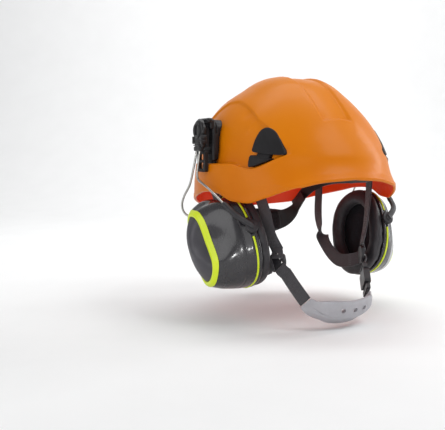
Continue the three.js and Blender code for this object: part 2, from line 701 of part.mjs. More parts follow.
// ------------------------------------------------------------ nape adjustment
const NAPE_Z = -64;               // height of the ratchet at the nape
const PINION_R = 7;               // pitch radius of the ratchet pinion
const PINION_TEETH = 12;
const HOUSING = { halfWidth: 34, halfHeight: 15.5, wall: 2, front: 105.2, rear: 116 };

const CRADLE_HALF = [
  [0, 103.6, NAPE_Z], [20, 102.4, NAPE_Z], [36, 98, NAPE_Z + 1], [48, 91.5, -60],
  [56, 82, -51], [57.8, 72, -40], [57.8, 60, -29],
];
const NAPE_PAD_HALF = [
  [0, 99.6, NAPE_Z], [18, 98.6, NAPE_Z], [32, 95.2, NAPE_Z + .6], [42, 90.6, NAPE_Z + 2],
];
piece('nape_cradle', symmetricBand(CRADLE_HALF, 40, taper(34, 14, .2, .8), 1.8), HARNESS);
piece('nape_pad', symmetricBand(NAPE_PAD_HALF, 20, 28, 4.4), PADDING);

// housing outline moved inwards by inset
function housingOutline(inset, radius) {
  const width = HOUSING.halfWidth - inset;
  const height = HOUSING.halfHeight - inset;
  return roundedRect(-width, width, NAPE_Z - height, NAPE_Z + height, radius);
}
// cylinder on the ratchet's axis
const ratchetRound = (radius, y0, y1) => cylinderY(radius, 0, NAPE_Z, y0, y1);
const ratchetPoint = (radius, angle) =>
  [radius * Math.cos(angle), NAPE_Z + radius * Math.sin(angle)];

piece('ratchet_housing', cut(
  slabY(housingOutline(0, 8), HOUSING.front, HOUSING.rear),
  slabY(housingOutline(HOUSING.wall, 2), HOUSING.front + HOUSING.wall, HOUSING.rear + 1),
), HARNESS);

const COVER_FRONT = HOUSING.rear + GAP;
piece('ratchet_cover', cut(
  slabY(housingOutline(0, 8), COVER_FRONT, COVER_FRONT + HOUSING.wall),
  ratchetRound(5, 115, 120),
), HARNESS);

// grooved knob with its stepped shaft
const KNOB_OUTLINE = Array.from({ length: 48 }, (_, i) =>
  ratchetPoint(16.6 - (i % 4 === 0 ? 1.3 : 0), 2 * Math.PI * i / 48));
piece('ratchet_knob', join(
  slabY(KNOB_OUTLINE, 118.8, 129.5),
  ratchetRound(4.4, 113.5, 119),
  ratchetRound(2.6, 108.2, 114),
), BLACK);

function pinion() {
  const [root, tip] = [PINION_R - 1, PINION_R + .8];
  const tooth = [[-.3, root], [-.16, tip], [.16, tip], [.3, root]];  // [share of pitch, radius]
  const outline = Array.from({ length: PINION_TEETH }, (_, i) => tooth.map(([share, radius]) =>
    ratchetPoint(radius, 2 * Math.PI * (i + share) / PINION_TEETH))).flat();
  return cut(slabY(outline, 108, 113), ratchetRound(2.9, 107, 115));
}
piece('ratchet_pinion', pinion(), HARNESS);

// toothed band end: side 1 lies above the pinion on the left, -1 below on the right
function rack(side) {
  const pitch = 2 * Math.PI * PINION_R / PINION_TEETH;
  const [inner, outer] = [2, 30.5];
  const tip = PINION_R + 1.1;
  const root = tip + 1.2;
  const outline = [[outer, tip + 3.8], [inner, tip + 3.8]];
  for (let x = inner; x + pitch <= outer; x += pitch) {
    const middle = x + pitch * .5;
    outline.push([x, tip], [middle, tip], [middle, root], [x + pitch, root]);
  }
  outline.push([outer, root]);
  return slabY(outline.map(([x, z]) => [side * x, NAPE_Z + side * z]), 108.4, 112.4);
}
piece('rack_left', rack(1), HARNESS);
piece('rack_right', rack(-1), HARNESS);

// ------------------------------------------------------------------ chin strap
const DIVIDER = [56.5, -67, -92]; // centre of the strap divider
const CHIN_END = [40, -99, -134]; // where the lower strap meets the chin cup

// lower strap's frame: down the strap, away from the face, and across the webbing
const lowerStrap = vector(...CHIN_END).sub(vector(...DIVIDER));
const CHIN_DISTANCE = lowerStrap.length();
const strapDown = lowerStrap.clone().normalize();
const outward = vector(.9, -.42, 0);
const strapNormal = outward.clone()
  .addScaledVector(strapDown, -outward.dot(strapDown)).normalize();
const strapAcross = strapDown.clone().cross(strapNormal).normalize();

// places along the strap, from the divider
const TONGUE_AT = 19.4;
const SOCKET_AT = 32.4;
const SLIDER_AT = 46.6;
const WEB_END = CHIN_DISTANCE - 3.6;

const along = (distance, across = 0, out = 0) =>
  offset(DIVIDER, [strapDown, distance], [strapAcross, across], [strapNormal, out]);
// outline in (across, along), centred at a distance down the strap
const plate = (outline, from, to, distance = 0, holes = []) =>
  extrude(outline, from, to, frame(strapAcross, strapDown, strapNormal, along(distance)), holes);

const FRONT_STRAP = [
  [78.4, -53.4, -4], [75.4, -56.4, -16], [70, -60.4, -36], [65, -62.4, -60], along(-10.6, 8),
];
pair('front_strap', band(smooth(FRONT_STRAP, 22),
  (u) => [.25 + .23 * u, 1 - .11 * u, .1 - .1 * u], CHIN_WEB, WEB_T), WEBBING);

const REAR_STRAP = [
  [78.4, 53.4, -4], [76, 50, -20], [67.4, 38, -58], [61.6, 14, -88],
  [58.4, -18, -103.5], [59, -41, -101.5], along(-3.8, -12.4),
];
pair('rear_strap', band(smooth(REAR_STRAP, 26),
  (u) => [.1 + .14 * u, .75 - .46 * u, .35 + .57 * u], CHIN_WEB, WEB_T), WEBBING);

const DIVIDER_OUTLINE = [
  [0, 9], [-5, 8], [-9, 6], [-12.3, 4], [-8.2, -10.2], [.2, -12.8], [12.6, -3.4], [9, 4], [5, 8],
];
pair('strap_divider', plate(DIVIDER_OUTLINE, -2, 2), BLACK);

// lower webbing, bowed slightly outwards; the left one starts inside the buckle socket
function chinStrap(start) {
  const points = [along(start), along((start + WEB_END) / 2, 0, .6), along(WEB_END - .4)];
  return band(smooth(points, 8), () => strapAcross, CHIN_WEB, WEB_T);
}
piece('chin_strap_right', mirrored(chinStrap(13)), WEBBING);
piece('chin_strap_left', chinStrap(41.8), WEBBING);

// buckle on the left: socket with a mouth towards the tongue and a button window
piece('buckle_socket', cut(
  plate(centredRect(12, 9, 3), -3.6, 3.6, SOCKET_AT),
  plate(roundedRect(-8.6, 8.6, -12, 3.4, .6, 1), -1.7, 1.7, SOCKET_AT),
  plate(centredRect(5.4, 5.4, 1, 2), 1, 6, SOCKET_AT),
), BLACK);
piece('buckle_tongue', join(
  plate(centredRect(10, 3.6, 1.5), -2.4, 2.4, TONGUE_AT, [roundedRect(-7.5, 7.5, -1.6, 1, .5, 1)]),
  plate(roundedRect(-8, 8, 2.5, 15, 1), -1.3, 1.3, TONGUE_AT),
), BLACK);
piece('buckle_button', plate(centredRect(4.9, 4.9, 1, 2), 3.4, 5.4, SOCKET_AT), BUTTON);
piece('strap_slider', cut(
  plate(centredRect(11, 3, 1), -2.2, 2.2, SLIDER_AT),
  plate(centredRect(8.7, 4, .5, 1), -1.3, 1.9, SLIDER_AT),
), BLACK);

const CHIN_CUP_HALF = [
  [0, -118, -143.5], [14, -116.2, -142.8], [26, -112, -141], [35, -106, -138.6],
  along(CHIN_DISTANCE), along(CHIN_DISTANCE - 2.8),
];
piece('chin_cup',
  symmetricBand(CHIN_CUP_HALF, 26, taper(31, 19, .35, 1), 2.6, [0, .34, -.94]), CHIN);

export default helmet;
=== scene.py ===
"""Hard hat with ear muffs on sprung wires, chin strap, head suspension and nape ratchet.

Z is up, -Y is the front, +X is the wearer's left. Lengths are in millimetres and turn into
metres when a mesh is made; the stage, lights and camera are in metres. Most pieces are worked
out on the left (+X) side and mirrored by a sign.
"""
import bpy
import bmesh
import math
import numpy as np
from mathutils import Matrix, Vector

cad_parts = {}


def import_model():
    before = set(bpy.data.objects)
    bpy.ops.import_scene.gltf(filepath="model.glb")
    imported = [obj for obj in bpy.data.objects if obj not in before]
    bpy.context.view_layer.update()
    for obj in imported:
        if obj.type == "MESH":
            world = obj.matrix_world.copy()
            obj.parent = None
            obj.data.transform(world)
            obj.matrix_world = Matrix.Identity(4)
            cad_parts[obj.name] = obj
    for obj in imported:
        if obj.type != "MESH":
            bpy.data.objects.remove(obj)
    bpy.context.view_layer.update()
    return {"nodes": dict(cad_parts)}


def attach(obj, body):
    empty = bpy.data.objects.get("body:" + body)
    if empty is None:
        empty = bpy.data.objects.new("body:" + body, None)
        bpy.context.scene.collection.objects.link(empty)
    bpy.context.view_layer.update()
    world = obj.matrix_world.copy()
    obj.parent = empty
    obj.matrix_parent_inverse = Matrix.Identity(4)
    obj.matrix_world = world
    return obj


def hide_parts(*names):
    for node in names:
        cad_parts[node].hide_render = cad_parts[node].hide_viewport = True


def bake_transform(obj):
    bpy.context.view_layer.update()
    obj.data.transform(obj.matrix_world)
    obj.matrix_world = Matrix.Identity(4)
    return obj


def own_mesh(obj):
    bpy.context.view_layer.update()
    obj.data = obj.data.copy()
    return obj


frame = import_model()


NODES = frame["nodes"]
SIDES = (("left", 1.0), ("right", -1.0))
MM = 0.001


# ------------------------------------------------------------------ curves and outlines
def clip01(x):
    return np.clip(x, 0.0, 1.0)


def ease(start, end, x):
    """Smooth step from 0 at start to 1 at end; start may be the larger."""
    t = clip01((np.asarray(x, float) - start) / (end - start))
    return t * t * (3 - 2 * t)


def bell(x, centre, width):
    return np.exp(-((x - centre) / width) ** 2)


def curve(stations, values):
    """Cubic through the values without overshoot, constant beyond its ends."""
    stations = np.array(stations, float)
    values = np.array(values, float)
    gap = np.diff(stations)
    rise = np.diff(values) / gap
    slope = np.zeros(len(stations))
    for i in range(1, len(stations) - 1):
        if rise[i - 1] * rise[i] > 0:
            before = 2 * gap[i] + gap[i - 1]
            after = gap[i] + 2 * gap[i - 1]
            slope[i] = (before + after) / (before / rise[i - 1] + after / rise[i])
    slope[0], slope[-1] = rise[0], rise[-1]

    def evaluate(x):
        x = np.clip(np.asarray(x, float), stations[0], stations[-1])
        i = np.clip(np.searchsorted(stations, x, side="right") - 1, 0, len(stations) - 2)
        t = (x - stations[i]) / gap[i]
        return ((2 * t**3 - 3 * t**2 + 1) * values[i]
                + (t**3 - 2 * t**2 + t) * gap[i] * slope[i]
                + (-2 * t**3 + 3 * t**2) * values[i + 1]
                + (t**3 - t**2) * gap[i] * slope[i + 1])
    return evaluate


def unit(v):
    v = np.asarray(v, float)
    return v / np.maximum(np.linalg.norm(v, axis=-1, keepdims=True), 1e-12)


def lengths(path):
    """Distance along the path at each of its points."""
    return np.concatenate([[0], np.cumsum(np.linalg.norm(np.diff(path, axis=0), axis=1))])


def even(path, count):
    """count + 1 points, evenly spaced along the path."""
    at = lengths(path)
    wanted = np.linspace(0, at[-1], count + 1)
    return np.stack([np.interp(wanted, at, path[:, k]) for k in range(path.shape[1])], 1)


def spline(points, count):
    """Centripetal Catmull-Rom through the points, as count + 1 evenly spaced samples."""
    knots = [np.array(p, float) for p in points]
    knots = [2 * knots[0] - knots[1]] + knots + [2 * knots[-1] - knots[-2]]
    spans = len(points) - 1

    def sample(s):
        i = min(int(s), spans - 1)
        t = s - i
        p0, p1, p2, p3 = knots[i:i + 4]
        d0, d1, d2 = [max(np.linalg.norm(b - a) ** 0.5, 1e-4)
                      for a, b in ((p0, p1), (p1, p2), (p2, p3))]
        leave = ((p1 - p0) / d0 - (p2 - p0) / (d0 + d1) + (p2 - p1) / d1) * d1
        arrive = ((p2 - p1) / d1 - (p3 - p1) / (d1 + d2) + (p3 - p2) / d2) * d1
        return (p1 + leave * t + (-3 * p1 + 3 * p2 - 2 * leave - arrive) * t * t
                + (2 * p1 - 2 * p2 + leave + arrive) * t**3)
    fine = count * 8
    return even(np.array([sample(spans * k / fine) for k in range(fine + 1)]), count)


def tangents(path):
    step = np.empty_like(path)
    step[1:-1] = path[2:] - path[:-2]
    step[0] = path[1] - path[0]
    step[-1] = path[-1] - path[-2]
    return unit(step)


def both_halves(half):
    """A path across the hat, from its +X half that starts on the middle plane."""
    return [(-x, y, z) for x, y, z in half[1:][::-1]] + list(half)


def turn(count):
    """Angles of one full turn."""
    return np.linspace(0, 2 * math.pi, count, endpoint=False)


def ellipse(rx, ry, count):
    t = turn(count)
    return np.stack([rx * np.cos(t), ry * np.sin(t)], 1)


def squircle(t, power):
    """Cosine and sine of a superellipse of the given power."""
    c, s = np.cos(t), np.sin(t)
    r = (np.abs(c) ** power + np.abs(s) ** power) ** (-1 / power)
    return c * r, s * r


def superellipse(rx, ry, power, count):
    c, s = squircle(turn(count), power)
    return np.stack([rx * c, ry * s], 1)


def rounded_rect(x0, x1, y0, y1, radius, steps=6):
    out = []
    corners = ((x1 - radius, y1 - radius), (x0 + radius, y1 - radius),
               (x0 + radius, y0 + radius), (x1 - radius, y0 + radius))
    for quarter, (x, y) in enumerate(corners):
        for i in range(steps + 1):
            a = math.radians(90 * quarter + 90 * i / steps)
            out.append((x + radius * math.cos(a), y + radius * math.sin(a)))
    return np.array(out)


def cut_corners(outline, times, share):
    """Chaikin's rounding: each pass cuts both ends of every side at the share."""
    p = np.asarray(outline, float)
    for _ in range(times):
        q = np.roll(p, -1, 0)
        p = np.stack([p * (1 - share) + q * share, p * share + q * (1 - share)], 1)
        p = p.reshape(-1, 2)
    return p


def resample(outline, count):
    return even(np.concatenate([outline, outline[:1]]), count)[:-1]


def inset(outline, depth):
    """Moves a closed outline inwards."""
    after, before = np.roll(outline, -1, 0), np.roll(outline, 1, 0)
    along = unit(after - before)
    area = 0.5 * np.sum(outline[:, 0] * after[:, 1] - after[:, 0] * outline[:, 1])
    inwards = np.stack([-along[:, 1], along[:, 0]], 1) * (1 if area > 0 else -1)
    return outline + inwards * depth


def scale_about(outline, centre, factor):
    return centre + (outline - centre) * factor


# ------------------------------------------------------------------ material helper
MATERIALS = {}


def rgb(*channels):
    """sRGB 0-255 to linear."""
    def linear(c):
        return ((c / 255 + 0.055) / 1.055) ** 2.4 if c > 10 else c / 255 / 12.92
    return tuple(linear(c) for c in channels) + (1.0,)


class Mat:
    """A node material round one Principled shader. Bump depths are in metres."""

    def __init__(self, name):
        self.material = bpy.data.materials.new(name)
        self.material.use_nodes = True
        self.tree = self.material.node_tree
        self.tree.nodes.clear()
        output = self.tree.nodes.new("ShaderNodeOutputMaterial")
        self.shader = self.tree.nodes.new("ShaderNodeBsdfPrincipled")
        self.tree.links.new(self.shader.outputs[0], output.inputs[0])
        coords = self.tree.nodes.new("ShaderNodeTexCoord")
        self.object = coords.outputs["Object"]
        self.uv = coords.outputs["UV"]
        MATERIALS[name] = self.material

    def put(self, socket, value):
        if isinstance(value, bpy.types.NodeSocket):
            self.tree.links.new(value, socket)
        else:
            socket.default_value = value

    def node(self, kind, inputs, **props):
        made = self.tree.nodes.new("ShaderNode" + kind)
        for key, value in props.items():
            setattr(made, key, value)
        for key, value in inputs.items():
            self.put(made.inputs[key], value)
        return made

    def set(self, **inputs):
        for key, value in inputs.items():
            self.put(self.shader.inputs[key.replace("_", " ")], value)

    def noise(self, scale, detail=3.0, rough=0.5, distortion=0.0, coord=None):
        return self.node("TexNoise", {
            "Scale": scale, "Detail": detail, "Roughness": rough, "Distortion": distortion,
            "Vector": self.object if coord is None else coord}).outputs[0]

    def cells(self, scale):
        made = self.node("TexVoronoi", {"Scale": scale, "Vector": self.object})
        return made.outputs["Distance"]

    def math(self, operation, *values):
        values = values if len(values) > 1 else values + (0.0,)
        return self.node("Math", dict(enumerate(values)), operation=operation).outputs[0]

    def remap(self, value, over, to):
        return self.node("MapRange", {
            "From Min": over[0], "From Max": over[1], "To Min": to[0], "To Max": to[1],
            "Value": value}).outputs[0]

    def mix(self, factor, a, b):
        return self.node("Mix", {0: factor, 6: a, 7: b}, data_type="RGBA").outputs[2]

    def tint(self, value, over, low, high, most=1.0):
        """Colour going from low to high as the value crosses a range."""
        return self.mix(self.remap(value, over, to=(0.0, most)), low, high)

    def bump(self, height, depth, strength, under=None):
        inputs = {"Strength": strength, "Distance": depth, "Height": height}
        if under is not None:
            inputs["Normal"] = under
        return self.node("Bump", inputs).outputs[0]

    def separate(self, vector):
        return self.node("SeparateXYZ", {0: vector}).outputs

    def stretched(self, vector, factors):
        return self.node("VectorMath", {0: vector, 1: factors}, operation="MULTIPLY").outputs[0]


# ------------------------------------------------------------------ materials
def shell_orange_abs():
    """Glossy ABS: painted shade deepening the colour low down, orange peel and hairline scratches.
    """
    mat = Mat("shell_orange_abs")
    height = mat.separate(mat.object)[2]
    # painted shade: the orange turns darker towards the bottom of the shell
    painted_shade_low = mat.remap(height, over=(-0.045, 0.118), to=(1.0, 0.0))
    colour = mat.mix(painted_shade_low, rgb(212, 121, 0), rgb(206, 108, 0))
    colour = mat.tint(mat.noise(22.0), over=(0.3, 0.75), low=colour, high=rgb(216, 128, 0),
                      most=0.3)
    scratches = mat.noise(55.0, detail=8.0, rough=0.72, distortion=2.2,
                          coord=mat.stretched(mat.object, (1.0, 3.5, 0.6)))
    hairlines = mat.remap(scratches, over=(0.60, 0.66), to=(0.0, 1.0))
    patches = mat.noise(180.0, detail=4.0, rough=0.6)
    rough = mat.math("ADD", mat.remap(patches, over=(0.3, 0.7), to=(0.36, 0.45)),
                     mat.math("MULTIPLY", hairlines, 0.05))
    peel = mat.noise(420.0, detail=1.5, rough=0.35)
    normal = mat.bump(peel, depth=0.00003, strength=0.4)
    normal = mat.bump(mat.noise(2600.0, detail=2.0), depth=0.000004, strength=0.4,
                      under=normal)
    mat.set(Base_Color=colour, Roughness=rough, Normal=normal, Specular_IOR_Level=0.14,
            Coat_Weight=0.07, Coat_Roughness=0.16)


def shell_inner_abs():
    """Matt inside of the shell, redder, with a faint glow for light through the wall."""
    mat = Mat("shell_inner_abs")
    mat.set(Base_Color=mat.tint(mat.noise(30.0), over=(0.3, 0.7),
                                low=rgb(236, 70, 4), high=rgb(222, 52, 2)),
            Roughness=mat.remap(mat.noise(300.0), over=(0.3, 0.7), to=(0.42, 0.55)),
            Normal=mat.bump(mat.noise(1500.0, detail=2.0), depth=0.00004, strength=0.7),
            Emission_Color=rgb(235, 52, 0), Emission_Strength=0.22)


def plastic(name, base, alt, rough, grain, grain_depth, scuff=0.12, specular=0.5,
            coat=0.0, coat_rough=0.2, wave_depth=0.0):
    """Moulded plastic: uneven tint, eroded grain, scuffs in the roughness, broad waves."""
    mat = Mat(name)
    blotches = mat.noise(38.0, detail=4.0, rough=0.55)
    colour = mat.tint(blotches, over=(0.35, 0.7), low=rgb(*base), high=rgb(*alt))
    streaks = mat.noise(420.0, detail=5.0, rough=0.6,
                        coord=mat.stretched(mat.object, (1.0, 0.35, 0.25)))
    roughness = mat.remap(streaks, over=(0.3, 0.72), to=(rough - scuff * 0.5, rough + scuff))
    normal = mat.bump(mat.noise(grain, detail=2.0, rough=0.6), depth=grain_depth, strength=0.8)
    if wave_depth:
        normal = mat.bump(mat.noise(60.0, detail=2.0, rough=0.4), depth=wave_depth,
                          strength=0.5, under=normal)
    mat.set(Base_Color=colour, Roughness=roughness, Normal=normal,
            Specular_IOR_Level=specular, Coat_Weight=coat, Coat_Roughness=coat_rough)


def plastics():
    plastic("plug_black", (23, 20, 23), (16, 14, 17), rough=0.55, grain=1700.0,
            grain_depth=0.00005, scuff=0.10, specular=0.3)
    plastic("adapter_black", (24, 22, 25), (15, 14, 16), rough=0.44, grain=2100.0,
            grain_depth=0.00003, scuff=0.10, specular=0.34, coat=0.05)
    plastic("hub_black", (25, 24, 27), (16, 15, 17), rough=0.34, grain=2300.0,
            grain_depth=0.00003, specular=0.4, coat=0.1)
    plastic("cup_grey_abs", (40, 38, 42), (34, 32, 36), rough=0.24, grain=2400.0,
            grain_depth=0.000006, scuff=0.06, specular=0.45, coat=0.5, coat_rough=0.08,
            wave_depth=0.00003)
    plastic("cup_face_grey", (66, 64, 70), (56, 54, 60), rough=0.36, grain=1500.0,
            grain_depth=0.00006, scuff=0.08)
    plastic("lime_accent", (214, 232, 22), (206, 225, 16), rough=0.34, grain=2600.0,
            grain_depth=0.00001, scuff=0.05, coat=0.15)
    plastic("sleeve_black", (40, 38, 42), (31, 29, 33), rough=0.44, grain=2000.0,
            grain_depth=0.00004)
    plastic("harness_pe", (34, 34, 37), (26, 26, 28), rough=0.48, grain=1900.0,
            grain_depth=0.00004)
    plastic("buckle_black", (40, 38, 42), (30, 29, 32), rough=0.40, grain=2200.0,
            grain_depth=0.00004)
    plastic("button_orange", (232, 118, 40), (224, 106, 28), rough=0.45, grain=2200.0,
            grain_depth=0.00004, scuff=0.08)


def chin_elastomer():
    mat = Mat("chin_elastomer")
    colour = mat.tint(mat.noise(60.0, detail=4.0, rough=0.55), over=(0.3, 0.7),
                      low=rgb(178, 177, 182), high=rgb(164, 163, 168))
    mat.set(Base_Color=colour,
            Roughness=mat.remap(mat.noise(500.0, rough=0.6), over=(0.3, 0.7), to=(0.5, 0.66)),
            Normal=mat.bump(mat.noise(1300.0, rough=0.55), depth=0.00006, strength=0.8),
            Subsurface_Weight=0.12, Subsurface_Radius=(0.002, 0.002, 0.002),
            Subsurface_Scale=0.6)


def spring_steel():
    """Drawn wire: fine lines that run along it, from its UV map."""
    mat = Mat("spring_steel")
    lines = mat.noise(1.0, detail=6.0, rough=0.7,
                      coord=mat.stretched(mat.uv, (0.4, 160.0, 1.0)))
    colour = mat.tint(lines, over=(0.3, 0.7), low=rgb(205, 204, 200), high=rgb(160, 158, 154))
    mat.set(Base_Color=colour, Metallic=1.0,
            Roughness=mat.remap(lines, over=(0.3, 0.7), to=(0.2, 0.36)),
            Normal=mat.bump(lines, depth=0.00002, strength=0.5))


def rivet_steel():
    mat = Mat("rivet_steel")
    mat.set(Base_Color=mat.mix(mat.noise(300.0), rgb(215, 214, 212), rgb(180, 180, 178)),
            Metallic=1.0, Roughness=0.25,
            Normal=mat.bump(mat.noise(900.0), depth=0.00002, strength=0.6))


def webbing(name, light, dark):
    """Woven twill from the UV map: u runs along the strap and v across it, in mm."""
    warp_pitch = 0.95
    twill_along, twill_across = 1.25, 1.9
    mat = Mat(name)
    along, across = mat.separate(mat.uv)[:2]
    full_turn = 2 * math.pi
    warp = mat.math("SINE", mat.math("MULTIPLY", across, full_turn / warp_pitch))
    phase = mat.math("ADD", mat.math("MULTIPLY", along, full_turn / twill_along),
                     mat.math("MULTIPLY", across, full_turn / twill_across))
    weft = mat.math("SINE", phase)
    weave = mat.math("ADD", mat.math("MULTIPLY", mat.math("ABSOLUTE", warp), 0.6),
                     mat.math("MULTIPLY", weft, 0.4))
    fuzz = mat.noise(2800.0, rough=0.6)
    height = mat.math("ADD", weave, mat.math("MULTIPLY", fuzz, 0.35))
    colour = mat.tint(weave, over=(-0.2, 0.9), low=rgb(*dark), high=rgb(*light))
    colour = mat.tint(mat.noise(45.0, detail=4.0, rough=0.6), over=(0.35, 0.7),
                      low=colour, high=rgb(*dark), most=0.3)
    mat.set(Base_Color=colour, Roughness=0.82,
            Normal=mat.bump(height, depth=0.00022, strength=0.9),
            Sheen_Weight=0.35, Sheen_Roughness=0.5, Specular_IOR_Level=0.25)


def stitch_thread():
    mat = Mat("stitch_thread")
    mat.set(Base_Color=mat.mix(mat.noise(900.0), rgb(120, 118, 124), rgb(88, 86, 92)),
            Roughness=0.7, Normal=mat.bump(mat.noise(2500.0), depth=0.00006, strength=0.8),
            Sheen_Weight=0.2)


def cushion_vinyl():
    """Soft leatherette with fine pores and broad wrinkles."""
    mat = Mat("cushion_vinyl")
    # the smooth minimum levels off the cells above 0.35, blended over 0.2
    pores = mat.math("SMOOTH_MIN", mat.cells(620.0), 0.35, 0.2)
    wrinkles = mat.noise(95.0, detail=5.0, rough=0.6, distortion=0.4)
    colour = mat.tint(wrinkles, over=(0.35, 0.7), low=rgb(44, 42, 46), high=rgb(34, 32, 36))
    normal = mat.bump(pores, depth=0.00006, strength=0.7)
    normal = mat.bump(wrinkles, depth=0.0005, strength=0.35, under=normal)
    mat.set(Base_Color=colour,
            Roughness=mat.remap(wrinkles, over=(0.3, 0.7), to=(0.42, 0.55)),
            Normal=normal, Sheen_Weight=0.1)


def open_foam():
    mat = Mat("open_foam")
    cells = mat.cells(900.0)
    mat.set(Base_Color=mat.tint(cells, over=(0.0, 0.6), low=rgb(16, 16, 18),
                                high=rgb(44, 44, 48)),
            Roughness=0.95, Normal=mat.bump(cells, depth=0.0006, strength=1.0),
            Specular_IOR_Level=0.15)


def knit_mesh():
    """Knitted mesh over foam."""
    mat = Mat("knit_mesh")
    cells = mat.cells(700.0)
    lumps = mat.noise(90.0)
    colour = mat.tint(cells, over=(0.05, 0.55), low=rgb(56, 56, 61), high=rgb(28, 28, 31))
    normal = mat.bump(cells, depth=0.00035, strength=0.8)
    normal = mat.bump(lumps, depth=0.0006, strength=0.3, under=normal)
    mat.set(Base_Color=colour, Roughness=0.88, Normal=normal, Sheen_Weight=0.3,
            Specular_IOR_Level=0.2)


shell_orange_abs()
shell_inner_abs()
plastics()
chin_elastomer()
spring_steel()
rivet_steel()
webbing("webbing_grey", light=(78, 76, 80), dark=(52, 50, 54))
webbing("webbing_dark", light=(54, 52, 56), dark=(34, 33, 36))
stitch_thread()
cushion_vinyl()
open_foam()
knit_mesh()


# ------------------------------------------------------------------ mesh tools
def shade_smooth(mesh):
    mesh.polygons.foreach_set("use_smooth", [True] * len(mesh.polygons))


def add_mesh(name, verts, faces, mat, body=None, slot=None, replaces=None, uvs=None,
             sharp=None, face_mats=None):
    """Object from vertices in mm. mat: one name or several; uvs: one per vertex;
    sharp: angle in degrees above which edges are hard."""
    mesh = bpy.data.meshes.new(name)
    mesh.from_pydata((np.asarray(verts, float) * MM).tolist(), [], faces)
    mesh.validate(clean_customdata=False)
    for mat_name in ((mat,) if isinstance(mat, str) else mat):
        mesh.materials.append(MATERIALS[mat_name])
    if face_mats is not None:
        mesh.polygons.foreach_set("material_index", np.asarray(face_mats, np.int32))
    if uvs is not None:
        layer = mesh.uv_layers.new(name="UVMap")
        corner_verts = np.zeros(len(mesh.loops), np.int32)
        mesh.loops.foreach_get("vertex_index", corner_verts)
        layer.data.foreach_set("uv", np.asarray(uvs, np.float32)[corner_verts].ravel())
    shade_smooth(mesh)
    piece = bpy.data.objects.new(name, mesh)
    bpy.context.scene.collection.objects.link(piece)
    fix_normals(piece)
    if sharp is not None:
        sharpen(piece, sharp)
    if body:
        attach(piece, body)
    if replaces:
        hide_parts(replaces)
    return piece


def fix_normals(piece):
    bm = bmesh.new()
    bm.from_mesh(piece.data)
    bmesh.ops.recalc_face_normals(bm, faces=bm.faces)
    if bm.calc_volume(signed=True) < 0:
        bmesh.ops.reverse_faces(bm, faces=bm.faces)
    bm.to_mesh(piece.data)
    bm.free()


def sharpen(piece, degrees):
    """Marks edges sharper than the angle as hard."""
    bm = bmesh.new()
    bm.from_mesh(piece.data)
    limit = math.radians(degrees)
    for edge in bm.edges:
        edge.smooth = not (len(edge.link_faces) == 2 and edge.calc_face_angle(0) > limit)
    bm.to_mesh(piece.data)
    bm.free()


def apply_modifiers(piece):
    graph = bpy.context.evaluated_depsgraph_get()
    mesh = bpy.data.meshes.new_from_object(piece.evaluated_get(graph))
    piece.modifiers.clear()
    piece.data = mesh


def grid_faces(rows, columns, wrap=True, close=False):
    """Quads between rows of vertices. wrap joins the columns round, close the rows."""
    faces = []
    for k in range(rows if close else rows - 1):
        a, b = k * columns, (k + 1) % rows * columns
        for i in range(columns if wrap else columns - 1):
            j = (i + 1) % columns
            faces.append((a + i, a + j, b + j, b + i))
    return faces


def capped(rings, start, end, end_first=False):
    """Rings closed by fans to a start and an end point; end_first sets the points' order."""
    count = len(rings[0])
    total = len(rings) * count
    start_at, end_at = total + end_first, total + (not end_first)
    pairs = [(i, (i + 1) % count) for i in range(count)]
    start_fan = [(start_at, j, i) for i, j in pairs]
    end_fan = [(end_at, total - count + i, total - count + j) for i, j in pairs]
    points = [end, start] if end_first else [start, end]
    fans = end_fan + start_fan if end_first else start_fan + end_fan
    return np.concatenate(list(rings) + [points]), grid_faces(len(rings), count) + fans


def loft(rings, closed=False):
    """Skin over rings: closed joins the last to the first, otherwise the ends are capped."""
    if closed:
        return np.concatenate(rings), grid_faces(len(rings), len(rings[0]), close=True)
    return capped(rings, rings[0].mean(0), rings[-1].mean(0))


def sweep_rings(path, across, section, scale=None):
    """Places a closed section along the path, its x towards across. scale: (x, y) per point.
    Returns the rings and their UVs, as distance along and offset across."""
    along = tangents(path)
    across = np.asarray(across, float)
    across = unit(across - (across * along).sum(1)[:, None] * along)
    normal = np.cross(along, across)
    scale = np.ones((len(path), 2)) if scale is None else scale
    rings, uvs = [], []
    for i, distance in enumerate(lengths(path)):
        rings.append(path[i] + section[:, :1] * scale[i, 0] * across[i]
                     + section[:, 1:] * scale[i, 1] * normal[i])
        uvs.append(np.stack([np.full(len(section), distance), section[:, 0] * scale[i, 0]], 1))
    return np.array(rings), np.array(uvs)


def sweep(path, across, section, scale=None):
    """Capped sweep: vertices, faces and UVs. across may be one direction or one per point."""
    across = np.broadcast_to(np.asarray(across, float), path.shape)
    rings, uvs = sweep_rings(path, across, section, scale)
    verts, faces = loft(rings)
    return verts, faces, np.concatenate(list(uvs) + [[[0, 0], [uvs[-1, 0, 0], 0]]])


def strip_section(width, thickness, crown, columns=9, edge=None):
    """Section of a flat strap with soft edges and a slight crown on top."""
    edge = thickness / 2 if edge is None else edge
    half, flat = thickness / 2, width / 2 - edge
    xs = np.linspace(-flat, flat, columns)
    bends = np.linspace(0.4, math.pi - 0.4, 4)
    top = [(x, half + crown * (1 - (2 * x / width) ** 2)) for x in xs[::-1]]
    left = [(-flat - edge * math.sin(a), half * math.cos(a)) for a in bends]
    bottom = [(x, -half) for x in xs]
    right = [(flat + edge * math.sin(a), -half * math.cos(a)) for a in bends]
    return np.array(top + left + bottom + right)


def rounded_edge(outline, place, radius, top, steps, start=0.0):
    """Rings that round an outline's upper edge, from start inside the outline."""
    return [place(inset(outline, start + radius * (1 - math.cos(a))),
                  top - radius + radius * math.sin(a))
            for a in np.linspace(0, math.pi / 2, steps)]


